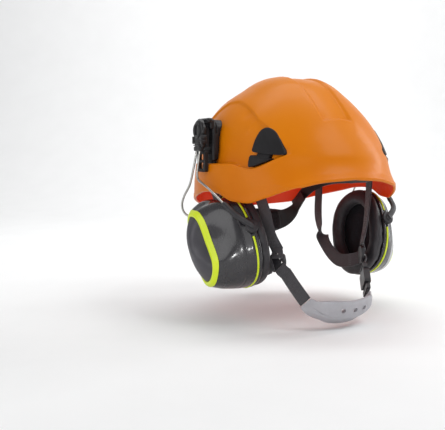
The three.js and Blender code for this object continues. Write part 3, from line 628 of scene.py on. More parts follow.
def plate(outline, bottom, top, place, edge, crown=0.0, back_edge=0.0, rows=4, inner=5):
    """Plate with rounded edges; place(points, height) gives its 3D points."""
    centre = outline.mean(0)
    rings = []
    for k in range(rows if back_edge else 0):
        a = math.pi / 2 * k / rows
        rings.append(place(inset(outline, back_edge * (1 - math.sin(a))),
                           bottom + back_edge * (1 - math.cos(a))))
    rings.append(place(outline, bottom + back_edge))
    rings += rounded_edge(outline, place, edge, top, rows + 1)
    flat = inset(outline, edge)
    for k in range(1, inner):
        f = 1 - k / inner
        rings.append(place(scale_about(flat, centre, f), top + crown * (1 - f * f)))
    return capped(rings, place(centre[None], bottom)[0], place(centre[None], top + crown)[0],
                  end_first=True)


def join(parts):
    """[(vertices, faces), ...] to one pair."""
    verts, faces, offset = [], [], 0
    for part_verts, part_faces in parts:
        verts.append(part_verts)
        faces += [tuple(i + offset for i in face) for face in part_faces]
        offset += len(part_verts)
    return np.concatenate(verts), faces


def on_plane(sign, x):
    """Placing for (y, z) points at a height above the side plane at x."""
    def place(points, height):
        xs = np.full(len(points), (x + height) * sign)
        return np.stack([xs, points[:, 0], points[:, 1]], 1)
    return place


def bevelled(node, mat, width):
    """A CAD node that keeps its shape: flats are joined and edges rounded by modifiers."""
    piece = NODES[node]
    piece.data.materials.clear()
    piece.data.materials.append(MATERIALS[mat])
    flats = piece.modifiers.new("join_flats", "DECIMATE")
    flats.decimate_type = "DISSOLVE"
    flats.angle_limit = math.radians(1.5)
    edges = piece.modifiers.new("edge_round", "BEVEL")
    edges.width = width * MM
    edges.segments = 3
    edges.limit_method = "ANGLE"
    edges.angle_limit = math.radians(30)
    edges.harden_normals = False
    edges.use_clamp_overlap = True
    shade_smooth(piece.data)
    weighted = piece.modifiers.new("weighted", "WEIGHTED_NORMAL")
    weighted.keep_sharp = False
    weighted.weight = 60


def mesh_points(mesh):
    points = np.zeros(len(mesh.vertices) * 3, np.float32)
    mesh.vertices.foreach_get("co", points)
    return points.reshape(-1, 3)


def puff(piece, voxel, pressure, most):
    """Swells a closed cover by cloth simulation; no point moves further than most (mm)."""
    frames = 16
    scene = bpy.context.scene
    materials = list(piece.data.materials)
    remesh = piece.modifiers.new("remesh", "REMESH")
    remesh.mode = "VOXEL"
    remesh.voxel_size = voxel * MM
    remesh.use_smooth_shade = True
    apply_modifiers(piece)
    piece.data.materials.clear()
    for material in materials:
        piece.data.materials.append(material)
    start = mesh_points(piece.data)
    cloth = piece.modifiers.new("cloth", "CLOTH")
    settings = cloth.settings
    settings.quality = 5
    settings.mass = 0.25
    settings.tension_stiffness = 14
    settings.compression_stiffness = 12
    settings.shear_stiffness = 4
    settings.bending_stiffness = 0.35
    settings.use_pressure = True
    settings.uniform_pressure_force = pressure
    settings.effector_weights.gravity = 0
    cloth.point_cache.frame_start = 1
    cloth.point_cache.frame_end = frames + 2
    for number in range(1, frames + 1):
        scene.frame_set(number)
    graph = bpy.context.evaluated_depsgraph_get()
    swollen = mesh_points(piece.evaluated_get(graph).data)
    piece.modifiers.clear()
    scene.frame_set(1)
    # a simulation that blew up is left out, and the cover keeps its modelled shape
    if len(swollen) == len(start) and np.isfinite(swollen).all():
        move = swollen - start
        size = np.linalg.norm(move, axis=1, keepdims=True)
        limit = most * MM
        move = move * np.where(size > 1e-9,
                               limit * np.tanh(size / limit) / np.maximum(size, 1e-9), 1.0)
        piece.data.vertices.foreach_set("co", (start + move).astype(np.float32).ravel())
    piece.data.update()
    shade_smooth(piece.data)
    finer = piece.modifiers.new("subdiv", "SUBSURF")
    finer.levels = 1
    finer.render_levels = 1
    apply_modifiers(piece)


# ------------------------------------------------------------------ shell
# Angles go round the hat: 0 at the front, 90 at the sides, 180 at the back.
HALF_WIDTH, FRONT_LENGTH, BACK_LENGTH = 108.5, 124.0, 120.0
PLAN_POWER = 2.15
TOP = 118.0
WALL = 3.0
CHANNEL_END = 97.0                    # the crown channel runs to this |y|
# share of the plan radius left at each height
FRONT_PROFILE = curve(
    [-60, 0, 19, 34, 49, 62, 75, 92, 106, 112, 115.5, 117.4, 118],
    [1.02, 1, .985, .94, .872, .80, .71, .565, .42, .32, .22, .1, 0])
BACK_PROFILE = curve(
    [-60, 0, 19, 34, 49, 62, 75, 85, 92, 100, 106, 112, 115.5, 117.4, 118],
    [1.01, 1, .99, .965, .922, .865, .78, .695, .61, .5, .425, .325, .225, .1, 0])
# heights by angle: rim, then lower and upper border of the sunken side panel
RIM = curve([0, 15, 30, 45, 55, 65, 78, 86, 96, 110, 125, 150, 180],
            [0, -2, -9, -20, -25.5, -24.5, -17, -15.5, -16.5, -21.5, -27.5, -39, -44])
LEDGE = curve([0, 25, 33.8, 54, 60, 69, 80, 120, 180],
              [28, 27, 24, 10, 11.3, 14.5, 14.7, 14.2, 14])
ARCH = curve([0, 20, 30, 34, 37, 46, 53, 61.4, 72.7, 86.9, 97, 105, 115, 123, 130, 134, 150, 180],
             [60, 45, 34, 31, 38.6, 53.5, 60.6, 71, 79.5, 84.5, 83.5, 78.5, 67, 52, 34, 24, 24, 30])
SINK_LEAST = 2.5
SINK_MOST = curve([0, 34, 50, 75, 110, 125, 180], [4, 4, 5, 10.5, 10.5, 6, 4])
# rows of the mesh: (height over the border, share of the sink depth)
LEDGE_ROWS = (
    (-2.3, 0), (-1.5, .012), (-.85, .045), (-.4, .1), (-.12, .18), (0, .34), (.06, .5),
    (.12, .66), (.22, .8), (.48, .9), (.95, .965), (1.6, .993), (2.4, 1))
ARCH_ROWS = (
    (-3.2, 1), (-2.4, .985), (-1.6, .9), (-.8, .72), (0, .5), (.8, .28), (1.6, .1),
    (2.4, .015), (3.2, 0))
RIM_ROWS = (0.0, .5, 1.2, 2.2, 3.6, 5.4)            # heights over the rim
FACET_LINE = [(-24, 44.9), (-44.6, 45.6), (-50.6, 61.3)]     # (y, z)
DIMPLE_AT = (-34.6, 68.5)                                    # (y, z)


def plan_radius(angle):
    length = np.where(np.cos(angle) > 0, FRONT_LENGTH, BACK_LENGTH)
    return ((np.abs(np.sin(angle)) / HALF_WIDTH) ** PLAN_POWER
            + (np.abs(np.cos(angle)) / length) ** PLAN_POWER) ** (-1 / PLAN_POWER)


def dome_radius(angle, z):
    degrees = np.degrees(np.abs(angle))
    back = ease(50, 105, degrees)
    low = np.clip((20 - z) / 24, 0, 1.15)
    flare = (9.5 * (1 - ease(12, 66, degrees)) + 2.5 * ease(100, 160, degrees)) * low * low
    return plan_radius(angle) * (FRONT_PROFILE(z) * (1 - back) + BACK_PROFILE(z) * back) + flare


def dome_point(angle, z):
    r = dome_radius(angle, z)
    return np.stack([r * np.sin(angle), -r * np.cos(angle), z + 0 * r], -1)


def dome_normal(angle, z):
    z = np.minimum(z, 117.0)
    up = dome_point(angle, z + .5) - dome_point(angle, z - .5)
    back_round = dome_point(angle - .02, z) - dome_point(angle + .02, z)
    return unit(np.cross(up, back_round))


def sink(degrees, z):
    """Depth of the side panel, deepest low down."""
    extra = (SINK_MOST(degrees) - SINK_LEAST) * ease(64, 18, z)
    return ease(30, 38, degrees) * (1 - ease(127, 134, degrees)) * (SINK_LEAST + extra)


def arch_height(degrees):
    return np.maximum(ARCH(degrees), LEDGE(degrees) + 7)


def line_distance(y, z, line):
    """Distance in the side view from points to an open line of segments."""
    best = np.full(np.shape(y), 1e9)
    for (y0, z0), (y1, z1) in zip(line[:-1], line[1:]):
        dy, dz = y1 - y0, z1 - z0
        t = clip01(((y - y0) * dy + (z - z0) * dz) / (dy * dy + dz * dz))
        best = np.minimum(best, np.hypot(y - y0 - t * dy, z - z0 - t * dz))
    return best


def between(low, high, rows):
    """Heights of rows evenly spaced strictly between two borders."""
    return [low + (high - low) * (k / (rows + 1)) for k in range(1, rows + 1)]


def shell_rows(rim, ledge, arch, body_rows, panel_rows, top_rows):
    """(heights, share of the sink depth) from the rim to the crown."""
    rows = [(rim + h, 0.0) for h in RIM_ROWS]
    rows += [(z, 0.0) for z in between(rim + RIM_ROWS[-1], ledge - 2.4, body_rows)]
    rows += [(ledge + h, share) for h, share in LEDGE_ROWS]
    rows += [(z, 1.0) for z in between(ledge + 2.4, arch - 3.2, panel_rows)]
    rows += [(arch + h, share) for h, share in ARCH_ROWS]
    # even steps along a meridian from there to the crown
    heights = np.linspace(0, TOP, 1200)
    meridian = lengths(np.stack([BACK_PROFILE(heights) * 112, heights], 1))
    start = np.interp(arch + 3.2, heights, meridian)
    rows += [(np.interp(s, meridian, heights), 0.0)
             for s in between(start, meridian[-1], top_rows)]
    return rows


def shell_surface(depth, columns, body_rows, panel_rows, top_rows, drop=0.0, detail=True):
    """The shell's surface moved in by depth, rim first, as (rows, columns, 3).
    drop lowers the panel's lower border; detail adds the relief of the outside."""
    angle = -math.pi + 2 * math.pi * np.arange(columns) / columns
    degrees = np.degrees(np.abs(angle))
    rim = RIM(degrees)
    surface = []
    for z, share in shell_rows(rim, LEDGE(degrees) - drop, arch_height(degrees),
                               body_rows, panel_rows, top_rows):
        points = dome_point(angle, z)
        normal = dome_normal(angle, z)
        if share > 0:
            cut = sink(degrees, z + (drop if share < 1 else 0)) * share
            radius = np.hypot(points[:, 0], points[:, 1])[:, None]
            points[:, :2] -= points[:, :2] / radius * cut[:, None]
        x, y, height = points.T.copy()
        # channel over the crown from front to back, fading out at its ends
        ramp = clip01((19.7 - np.abs(x)) / 2.8)
        ramp = ramp * .6 + .4 * ease(0, 1, ramp)
        ends = 1 - ease(CHANNEL_END - 1.2, CHANNEL_END + 2.6, np.abs(y))
        points = points - normal * (WALL * ramp * ends * ease(47, 54, height))[:, None]
        if detail:
            # faint facet on the side panel, a shallow dimple above it, a lip along the rim
            side = (np.abs(x) > 50) & (np.abs(y) < 110)
            facet = .45 * bell(line_distance(y, height, FACET_LINE), 0, 1.5) * side
            away = np.hypot(y - DIMPLE_AT[0], height - DIMPLE_AT[1])
            dimple = -.9 * bell(away, 0, 5.2) * side
            lip = .55 * (1 - ease(3.2, 6.0, height - rim))
            points = points + normal * (facet + dimple + lip)[:, None]
        surface.append(points - normal * depth)
    return np.array(surface)


def shell():
    columns = 420
    outer = shell_surface(0.0, columns, body_rows=12, panel_rows=26, top_rows=92)
    inner = shell_surface(WALL, columns, body_rows=7, panel_rows=14, top_rows=44,
                          drop=WALL, detail=False)
    edge = []
    for a in np.linspace(0, math.pi, 8)[1:-1]:
        f = (1 - math.cos(a)) / 2
        edge.append(outer[0] * (1 - f) + inner[0] * f + [0, 0, -1.35 * math.sin(a)])
    rows = list(outer[::-1]) + edge + list(inner)
    peak = [0, 0, .02]
    verts, faces = capped(rows, outer[-1].mean(0) + peak, inner[-1].mean(0) + peak)
    # the outside and most of the rounded edge are orange, as is the first cap
    outside = (len(outer) + len(edge) - 2) * columns
    inside = (len(rows) - 1) * columns - outside
    add_mesh("helmet_shell", verts, faces, ("shell_orange_abs", "shell_inner_abs"),
             "root", "shell_orange", "shell",
             face_mats=[0] * outside + [1] * inside + [0] * columns + [1] * columns)


def surface_x(y, z, radius, low):
    """X on the +X side where radius(angle, z) passes the side-view points, by bisection."""
    low = np.full(y.shape, low)
    high = np.full(y.shape, 125.0)
    for _ in range(40):
        x = (low + high) / 2
        outside = np.hypot(x, y) > radius(np.arctan2(x, -y), z)
        high = np.where(outside, x, high)
        low = np.where(outside, low, x)
    return (low + high) / 2


def panel_radius(angle, z):
    """Radius of the shell's outside, side panel included."""
    degrees = np.degrees(angle)
    inside = (ease(3.2, -3.2, z - arch_height(degrees))
              * ease(-1.0, 1.6, z - LEDGE(degrees)))
    return dome_radius(angle, z) - sink(degrees, z) * inside


# ------------------------------------------------------------------ accessory plugs
# (y, z) outlines, cut at the corners by the share beside them
UPPER_PLUG = [
    (-66.6, 27.4), (-65.8, 33.5), (-65, 39.9), (-64.6, 45.8), (-65, 50.2), (-67, 52.8),
    (-70, 53.4), (-74.2, 52.2), (-78.6, 49.7), (-82.8, 46), (-87.6, 40.2), (-92.3, 33.4),
    (-95.8, 28.1), (-97.4, 24.2), (-93.8, 23.9), (-85, 24.6), (-75, 25.9)]
LOWER_PLUG = [
    (-66.4, 24.2), (-70.7, 23.2), (-79.3, 21.2), (-88, 20.2), (-85, 18.2), (-80, 15.8),
    (-72.8, 12.6), (-66.4, 10.7), (-66.0, 17)]


def plug(sign, side):
    """Two lobes that follow the dome, with a lower neck between them."""
    def place(points, height):
        y, z = points.T
        return np.stack([(surface_x(y, z, dome_radius, 20.0) + height) * sign, y, z], 1)
    parts = []
    for outline, share in ((UPPER_PLUG, .22), (LOWER_PLUG, .2)):
        lobe = resample(cut_corners(outline, 2, share), 120)
        parts.append(plate(lobe, -6.5, .75, place, edge=.75, inner=12, rows=5))
    neck = resample(rounded_rect(-84.5, -72.5, 20.5, 26.5, 1), 60)
    parts.append(plate(neck, -6.0, -.9, place, edge=.4, inner=4, rows=3))
    add_mesh(f"plug_{side}", *join(parts), "plug_black", "root", "black_plastic",
             f"accessory_plug_{side}")


# ------------------------------------------------------------------ ear muff mount and hub
MOUNT_Y = 8.0                  # the mount's middle line
MOUNT_HALF = 14.0
MOUNT_FACE_X = 105.0
HINGE = (108.6, 62.5)          # (x, z) of the hinge axis
HUB_X = 112.0                  # inner face of the hub


def block(sign, x0, x1, y0, y1, z0, z1, radius):
    """Rounded bar between two X planes; y is measured from the mount's middle line."""
    corner = min(radius, (y1 - y0) / 2 - .01, (z1 - z0) / 2 - .01)
    outline = resample(rounded_rect(MOUNT_Y + y0, MOUNT_Y + y1, z0, z1, corner, 4), 48)
    edge = min(radius, (x1 - x0) * .45) * .8
    return plate(outline, 0, x1 - x0, on_plane(sign, x0), edge=edge, back_edge=edge,
                 rows=3, inner=2)


def mount_base(sign, side):
    half = MOUNT_HALF
    t = np.radians(np.linspace(0, 180, 41))
    arch = np.stack([half * np.cos(t), 53.2 + 13.3 * np.sin(t)], 1)
    foot = [(-half, 40), (-half, 22), (-13.4, 18), (-10.5, 16),
            (10.5, 16), (13.4, 18), (half, 22), (half, 40)]
    outline = resample(np.concatenate([arch, foot]) + [MOUNT_Y, 0], 170)
    on_shell = -99             # a height this low ends on the shell

    def place(points, height):
        y, z = points.T
        shell_x = surface_x(y, z, panel_radius, 30.0) + .35
        return np.stack([np.maximum(MOUNT_FACE_X + height, shell_x) * sign, y, z], 1)
    # (height, inset): foot on the shell, shadow groove, start of the upper layer
    rings = [place(inset(outline, depth), height) for height, depth in (
        (on_shell, 2.6), (-6.6, 2.3), (-6.0, 2.4), (-5.6, 3.0), (-4.9, 3.0), (-4.6, .9),
        (-4.1, .5))]
    rings += rounded_edge(outline, place, 2.6, 0.0, 6, start=.5)
    centre = outline.mean(0)
    flat = inset(outline, 3.1)
    rings += [place(scale_about(flat, centre, f), 0.0) for f in (.85, .65, .4, .2)]
    parts = [capped(rings, place(centre[None], on_shell)[0], place(centre[None], 0.0)[0],
                    end_first=True)]
    # hinge knuckles with webs under them
    for y0, y1 in ((-half, -8.8), (8.8, half)):
        rings = []
        for y, radius in ((y0, 1.5), (y0 + .5, 2.4), (y0 + 1.4, 2.9), (y1 - .3, 3.0), (y1, 2.7)):
            x, z = (ellipse(radius, radius, 28) + HINGE).T
            rings.append(np.stack([x * sign, np.full(28, MOUNT_Y + y), z], 1))
        parts.append(loft(rings))
        parts.append(block(sign, 103.2, HINGE[0] - .6, y0 + .6, y1 - .3,
                           HINGE[1] - 9.5, HINGE[1] + 1.2, 1.4))
    for k in range(5):         # ribs across the face
        parts.append(block(sign, 104, 105.8, -9.5, 9.5, 30 + k * 4.2, 31.5 + k * 4.2, .35))
    for y in (-14.4, 13.4):    # bars down both edges
        parts.append(block(sign, 98.5, 104.2, y, y + 1.0, 24, 48, .4))
    # blade below the face
    parts.append(block(sign, 99.2, 102.8, -11, 11, 6.6, 18, .6))
    add_mesh(f"adapter_base_{side}", *join(parts), "adapter_black", "root",
             "black_plastic", f"mount_base_{side}", sharp=50)


# x0, x1, y0, y1 from the middle line, z0, z1, edge radius
HUB_BLOCKS = (
    # clamp at the front with two tabs
    (111.9, 118.9, -13.4, -8.6, 36.5, 46.6, 1.0),
    (113.0, 119.6, -13.9, -9.6, 38.0, 40.2, .5),
    (113.0, 119.6, -13.9, -9.6, 41.4, 44.4, .5),
    # block at the back, bar at the foot, two ribs under the drum
    (112.4, 118.6, 8.8, 12.4, 36.5, 45, .9),
    (113.4, 118.6, -8.2, 8.2, 28.4, 33.6, 1.2),
    (117.6, 119.3, -7.4, 7.4, 34.4, 35.6, .4),
    (117.6, 119.3, -7.4, 7.4, 36.9, 38.1, .4))


def hub(sign, side):
    place = on_plane(sign, HUB_X)

    def close(rings, centre, bottom, top):
        return capped(rings, place(centre[None], bottom)[0], place(centre[None], top)[0],
                      end_first=True)
    # carrier body with a round head and a narrower foot
    t = np.radians(np.linspace(-28, 208, 60))
    head = np.stack([12 * np.cos(t), 52 + 12 * np.sin(t)], 1)
    foot = [(-9.4, 40), (-9.0, 33.4), (-6.6, 31), (6.6, 31), (9.0, 33.4), (9.4, 40)]
    rough = resample(np.concatenate([head, foot]) + [MOUNT_Y, 0], 90)
    outline = resample(cut_corners(rough, 1, .25), 150)
    centre = np.array([MOUNT_Y, 49.5])
    edge, top = 3.4, 6.0
    rings = [place(inset(outline, depth), height)
             for depth, height in ((.7, 0), (.21, .21), (0, .7))]
    rings += rounded_edge(outline, place, edge, top, 9)
    flat = inset(outline, edge)
    rings += [place(scale_about(flat, centre, f), top) for f in (.8, .5, .2)]
    parts = [close(rings, centre, 0.0, top)]
    # raised drum with an oval well and a boss in it
    drum = ellipse(8.9, 8.7, 150) + [MOUNT_Y, 51.4]
    centre = np.array([MOUNT_Y, 51.6])
    well = ellipse(4.3, 6.0, 150) + centre
    rings = [place(drum, 4.6), place(drum, 6.4)]
    for a in np.linspace(0, math.pi / 2, 5):
        factor = 1 - .12 * (1 - math.cos(a))
        rings.append(place(scale_about(drum, centre, factor), 6.4 + math.sin(a)))
    lip = scale_about(drum, centre, .88)
    rings += [place(well + (lip - well) * f, 7.4) for f in (.5, .1)]
    rings += [place(scale_about(well, centre, f), height) for f, height in (
        (1, 7.15), (.94, 6.3), (.9, 3.4), (.62, 3.2), (.55, 4.6), (.3, 5.0))]
    parts.append(close(rings, centre, 4.6, 5.0))
    parts += [block(sign, *sizes) for sizes in HUB_BLOCKS]
    add_mesh(f"hub_{side}", *join(parts), "hub_black", f"arm_{side}", "black_plastic",
             f"arm_hub_{side}", sharp=45)


# ------------------------------------------------------------------ wire bow
WIRE_RADIUS = 1.25
# from the front sleeve, through the hub's loop, to the rear sleeve
WIRE = [
    (113, -47.5, -27), (117, -20, -12.6), (117.6, -2, -6.4), (117.4, 6.5, -3.2), (117, 9.6, 3),
    (116.4, 7, 18), (116, 4.8, 32), (116, 4.2, 42), (116, 6, 47.5), (116, 10, 47.5),
    (116, 11.8, 42), (116, 12.4, 32), (118, 17, 10), (120, 23.5, -10), (121.8, 35, -23.5),
    (122, 40.6, -34), (119, 40.8, -43), (111, 36, -50)]
FRONT_BEND, REAR_BEND = WIRE[3], WIRE[13]        # a point part way down each leg


def wire(sign, side):
    """The bow, cut at its top into two legs that run between the arm and the sleeves."""
    path = spline(WIRE, 260) * [sign, 1, 1]
    along = tangents(path)
    # carry the section's direction along so that it never flips
    across = [unit(np.cross(along[0], [sign, .05, .02]))]
    for direction in along[1:]:
        across.append(unit(across[-1] - (across[-1] @ direction) * direction))
    rings, uvs = sweep_rings(path, across, ellipse(WIRE_RADIUS, WIRE_RADIUS, 14))
    uvs = uvs * 0.1
    top = int(np.argmax(rings[:, :, 2].mean(1)))
    for leg, first, stop, start, end in (("front", 0, top + 1, FRONT_BEND, WIRE[0]),
                                         ("rear", top, len(rings), REAR_BEND, WIRE[-1])):
        leg_uvs = np.concatenate(list(uvs[first:stop]) + [[uvs[first, 0], uvs[stop - 1, -1]]])
        piece = add_mesh(f"wire_{leg}_{side}", *loft(rings[first:stop]), "spring_steel",
                         slot="steel_wire", uvs=leg_uvs)
        start, end = [(x * sign * MM, y * MM, z * MM) for x, y, z in (start, end)]
        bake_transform(piece)
        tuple(start)
        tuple(end)
        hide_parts(f"wire_arm_{side}")


# ------------------------------------------------------------------ ear cup
# The cup's frame: out points away from the head, up leans inwards to +Y, fore to the front.
CUP_ORIGIN = np.array([83.0, -29.0, -70.5])
TILT, LEAN = math.radians(9), math.radians(23)
CUP_OUT = np.array([math.cos(TILT), 0, -math.sin(TILT)])
CUP_UP = np.array([math.sin(TILT) * math.cos(LEAN), math.sin(LEAN),
                   math.cos(TILT) * math.cos(LEAN)])
CUP_FORE = np.array([math.sin(TILT) * math.sin(LEAN), -math.cos(LEAN),
                     math.cos(TILT) * math.sin(LEAN)])
CUP_A, CUP_B = 50.5, 44.0      # half height and half width at the base
CUP_DEPTH = 38.5
CUP_POWER = 2.3
CUP_COLUMNS = 160
# by distance out from the base
STATIONS = [0, 7, 11.5, 16, 25, 32, 36.2, CUP_DEPTH]
HALF_UP = curve(STATIONS, [CUP_A + d for d in (0, 0, .9, 1.4, 0, -3.4, -6.3, -8.5)])
HALF_FORE = curve(STATIONS, [CUP_B + d for d in (0, 0, -1.1, -2.5, -8, -14, -18.3, -21)])
SHIFT_BACK = curve(STATIONS, [0, 0, 1, 2, 6.5, 11, 14, 15])
SHIFT_UP = curve(STATIONS, [0, 0, 1.6, 3.2, 5.2, 5.9, 6.1, 5.5])
BEND_SHARE = curve(STATIONS, [0, 0, .11, .22, .58, .86, 1, 1])
FRONT_SQUEEZE = curve(STATIONS, [0, 0, 2.6, 3.5, 3.5, 2.6, 1.9, 1.0])


def cup_xyz(out, up, fore, sign):
    out, up, fore = np.broadcast_arrays(np.asarray(out, float), up, fore)
    points = (CUP_ORIGIN + out[..., None] * CUP_OUT + up[..., None] * CUP_UP
              + fore[..., None] * CUP_FORE)
    return points * [sign, 1, 1]


def bend(up):
    """How far the outer face stands out at a height: more at its lower end."""
    return -.055 * up + .085 * (np.sqrt(up * up + 144) - 12)


def cup_ring(sign, out, grow=0.0, share=1.0):
    """Closed curve round the cup; grow widens it, share shrinks it to the face's centre."""
    t = turn(CUP_COLUMNS)
    station = min(out, CUP_DEPTH)
    half_up = HALF_UP(station) + grow
    up, fore = superellipse(half_up, HALF_FORE(station) + grow, CUP_POWER, CUP_COLUMNS).T
    # the front edge takes an S shape towards the face
    front = float(ease(20, 38, out)) * ease(-.2, .6, np.sin(t))
    fore = fore + front * (5.2 * bell(up, -25, 13) - 3.0 * bell(up, 6, 17))
    up = up - 1.2 * front * ease(0, 1, -np.cos(t))
    squeeze = FRONT_SQUEEZE(station) * ease(-.16, .3, np.sin(t))
    up = up * (1 - squeeze / half_up) * share + SHIFT_UP(station) - squeeze * share
    fore = fore * share - SHIFT_BACK(station)
    return cup_xyz(out + BEND_SHARE(station) * bend(up), up, fore, sign)


def cup_rings(sign, stations, start=0.0):
    return [cup_ring(sign, start + out, grow) for out, grow in stations]


def cup_centre(sign, out):
    return cup_ring(sign, out, 0, .001).mean(0)


# (out, grow)
CUP_OUTSIDE = (
    # base lip
    [(0, -.5), (.1, .3), (.5, .75), (1.2, .95), (2.2, .95), (2.9, .7), (3.2, .1), (3.6, 0)]
    # wall with a parting line
    + [(out, 0) for out in (5, 6.6, 7.4, 8.4, 9.6, 11, 12.5, 14)]
    + [(14.7, 0), (14.95, -.3), (15.3, -.36), (15.65, -.3), (15.9, 0)]
    + [(out, 0) for out in (17.5, 19, 20.5, 22, 23.5, 25, 26.5, 28, 29.5, 31, 32.5, 34,
                            35.2, 36.2, 37.1, 37.8)]
    # rounded shoulder
    + [(38.3, -.25), (38.5, -.9), (38.5, -2.5), (38.5, -8)])
CUP_INSIDE = ((0, -2.0), (.6, -2.3), (6, -2.4), (12, -2.4), (18, -2.5), (24, -2.9),
              (29, -3.4), (33, -4.4), (35.5, -7))
# where on its course the line starts, out from and to, angle round the cup from and to
MOULD_LINES = ((.25, 17.2, 27.5, 92, 136), (0, 24.0, 31.5, 74, 96), (0, 8.5, 13.2, 120, 150))


def cup_bucket(sign, side):
    outside = cup_rings(sign, CUP_OUTSIDE)
    outside += [cup_ring(sign, CUP_DEPTH, 0, share) for share in (.5, .2)]
    verts, faces = capped(outside[::-1] + cup_rings(sign, CUP_INSIDE),
                          cup_centre(sign, CUP_DEPTH), cup_centre(sign, 36.2))
    add_mesh(f"cup_bucket_{side}", verts, faces, "cup_grey_abs", f"cup_{side}", "cup_grey",
             f"cup_shell_{side}", sharp=60)


def mould_lines(sign, side):
    """Fine raised lines across the front of the cup's wall, thin at both ends."""
    course = np.linspace(0, 1, 30)
    taper = np.stack([np.sin(course * math.pi) * .9 + .1] * 2, 1)
    parts = []
    for begin, out0, out1, degrees0, degrees1 in MOULD_LINES:
        line = []
        for f in course:
            out = out0 + (out1 - out0) * (begin + (1 - begin) * f) ** 1.2
            ring = cup_ring(sign, out, -.02)
            k = (degrees0 + (degrees1 - degrees0) * f) / 360 * CUP_COLUMNS
            i = int(k) % CUP_COLUMNS
            line.append(ring[i] * (1 - k % 1) + ring[(i + 1) % CUP_COLUMNS] * (k % 1))
        line = np.array(line)
        across = np.cross(tangents(line), unit(line - CUP_ORIGIN * [sign, 1, 1]))
        parts.append(sweep(line, across, ellipse(.24, .16, 8), scale=taper)[:2])
    add_mesh(f"cup_mould_lines_{side}", *join(parts), "cup_grey_abs", f"cup_{side}", "cup_grey")


def face_panel(sign, side):
    """Domed panel on the cup's outer face."""
    edge, rise, dome, grow = .2, 2.8, 12.8, -5.6
    rings = cup_rings(sign, ((edge, -5.0), (1.6, -4.9), (2.3, -5.1), (rise, grow)), CUP_DEPTH)
    for share in np.linspace(.97, .05, 20):
        out = CUP_DEPTH + rise + dome * (1 - share ** 2.15)
        rings.append(cup_ring(sign, out, grow, share))
    verts, faces = capped(rings, cup_centre(sign, CUP_DEPTH + edge),
                          cup_centre(sign, CUP_DEPTH + rise + dome), end_first=True)
    add_mesh(f"face_panel_{side}", verts, faces, "cup_face_grey", f"cup_{side}",
             "cup_face_grey", f"cup_face_{side}", sharp=60)


def accent_outer(sign, side):
    """Flat band that wraps over the shoulder."""
    profile = (
        (-1.9, .62), (-1.5, .95), (-.6, .95), (.5, .5), (1.5, -.3), (2.3, -1.4), (2.75, -2.6),
        (2.85, -3.6), (2.6, -4.4), (1.9, -4.75), (.2, -4.7), (-.9, -2.2))
    verts, faces = loft(cup_rings(sign, profile, CUP_DEPTH), closed=True)
    add_mesh(f"accent_outer_{side}", verts, faces, "lime_accent", f"cup_{side}",
             "lime_accent", f"accent_ring_outer_{side}", sharp=70)


def accent_inner(sign, side):
    """Thin ring near the base, open under the front paddle."""
    out, grow = np.array([(4.5, .05), (4.6, .6), (5.0, .85), (5.6, .95), (6.2, .85),
                          (6.6, .6), (6.7, .05)]).T
    t = np.radians(98 + 336 * np.arange(220) / 219)
    rings = [cup_xyz(out, (CUP_A + grow) * c, (CUP_B + grow) * s, sign)
             for c, s in zip(*squircle(t, CUP_POWER))]
    add_mesh(f"accent_inner_{side}", *loft(rings), "lime_accent", f"cup_{side}",
             "lime_accent", f"accent_ring_inner_{side}", sharp=60)


def foam(sign, side):
    """Foam liner inside the cup, with a slightly wavy face towards the head."""
    margin, columns = -6.5, 96
    up, fore = superellipse(CUP_A + margin, CUP_B + margin, CUP_POWER, columns).T
    rings = [cup_xyz(4.0 + .9 * math.sin(f * 9), up * f, fore * f, sign)
             for f in np.linspace(.05, .95, 14)]
    for out, grow in ((4.0, margin), (4.3, -5.4), (6, -5), (11, -5), (14, -5.6), (15, -6.8)):
        up, fore = superellipse(HALF_UP(out) + grow, HALF_FORE(out) + grow, CUP_POWER,
                                columns).T
        rings.append(cup_xyz(out, up, fore - SHIFT_BACK(out), sign))
    add_mesh(f"acoustic_foam_{side}", *loft(rings), "open_foam", f"cup_{side}", "foam",
             f"foam_liner_{side}")


def cushion(sign, side):
    """Sealing ring: fat and soft, with a seam at its outer edge and folds into the hole."""
    t = turn(CUP_COLUMNS)
    folds = (.32 * np.sin(t * 23 + 1.3 * np.sin(t * 3))
             + .22 * np.sin(t * 37 + 2 * np.sin(t * 2)))
    # (out, grow): seam, outer round, inner round, back of the hole
    profile = [(-.4, -1.6), (-.5, -.2), (-.9, .5), (-1.3, .2), (-1.7, .35)]
    for angles, width in ((np.linspace(-.36 * math.pi, .5 * math.pi, 14), 8.7),
                          (np.linspace(.5 * math.pi, 1.02 * math.pi, 10)[1:], 8.6)):
        profile += [(-6.4 - 5.6 * math.sin(a), -7.6 + width * math.cos(a)) for a in angles]
    profile += [(-4.0, -16.4), (-1.2, -16.6), (-.4, -16.4)]
    rings = []
    for k, (out, grow) in enumerate(profile):
        up, fore = superellipse(CUP_A + grow, CUP_B + grow, CUP_POWER, CUP_COLUMNS).T
        amount = ease(10, 26, k) * (1 - ease(len(profile) - 3, len(profile) - 1, k))
        swell = 1 + folds * amount * .006
        rings.append(cup_xyz(out + folds * .55 * amount, up * swell, fore * swell, sign))
    piece = add_mesh(f"seal_cushion_{side}", *loft(rings, closed=True), "cushion_vinyl",
                     slot="cushion_vinyl")
    puff(piece, voxel=2.6, pressure=2.2, most=1.3)
    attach(piece, f"cup_{side}")
    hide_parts(f"cushion_{side}")


# The sleeves' pivots: out, up and fore from the cup's origin.
PIVOT_OUT, PIVOT_UP, PIVOT_FORE = 5.4, 3.0, CUP_B + 3.4
# radius, outline points, bottom, top, edge, back edge, crown of the paddle, its hub and pin
PADDLE_PLATES = ((7.4, 64, 0, 3.0, 1.0, .5, .2), (3.6, 48, 2.6, 4.1, .6, 0, .15),
                 (1.5, 32, 3.8, 4.7, .4, 0, 0))


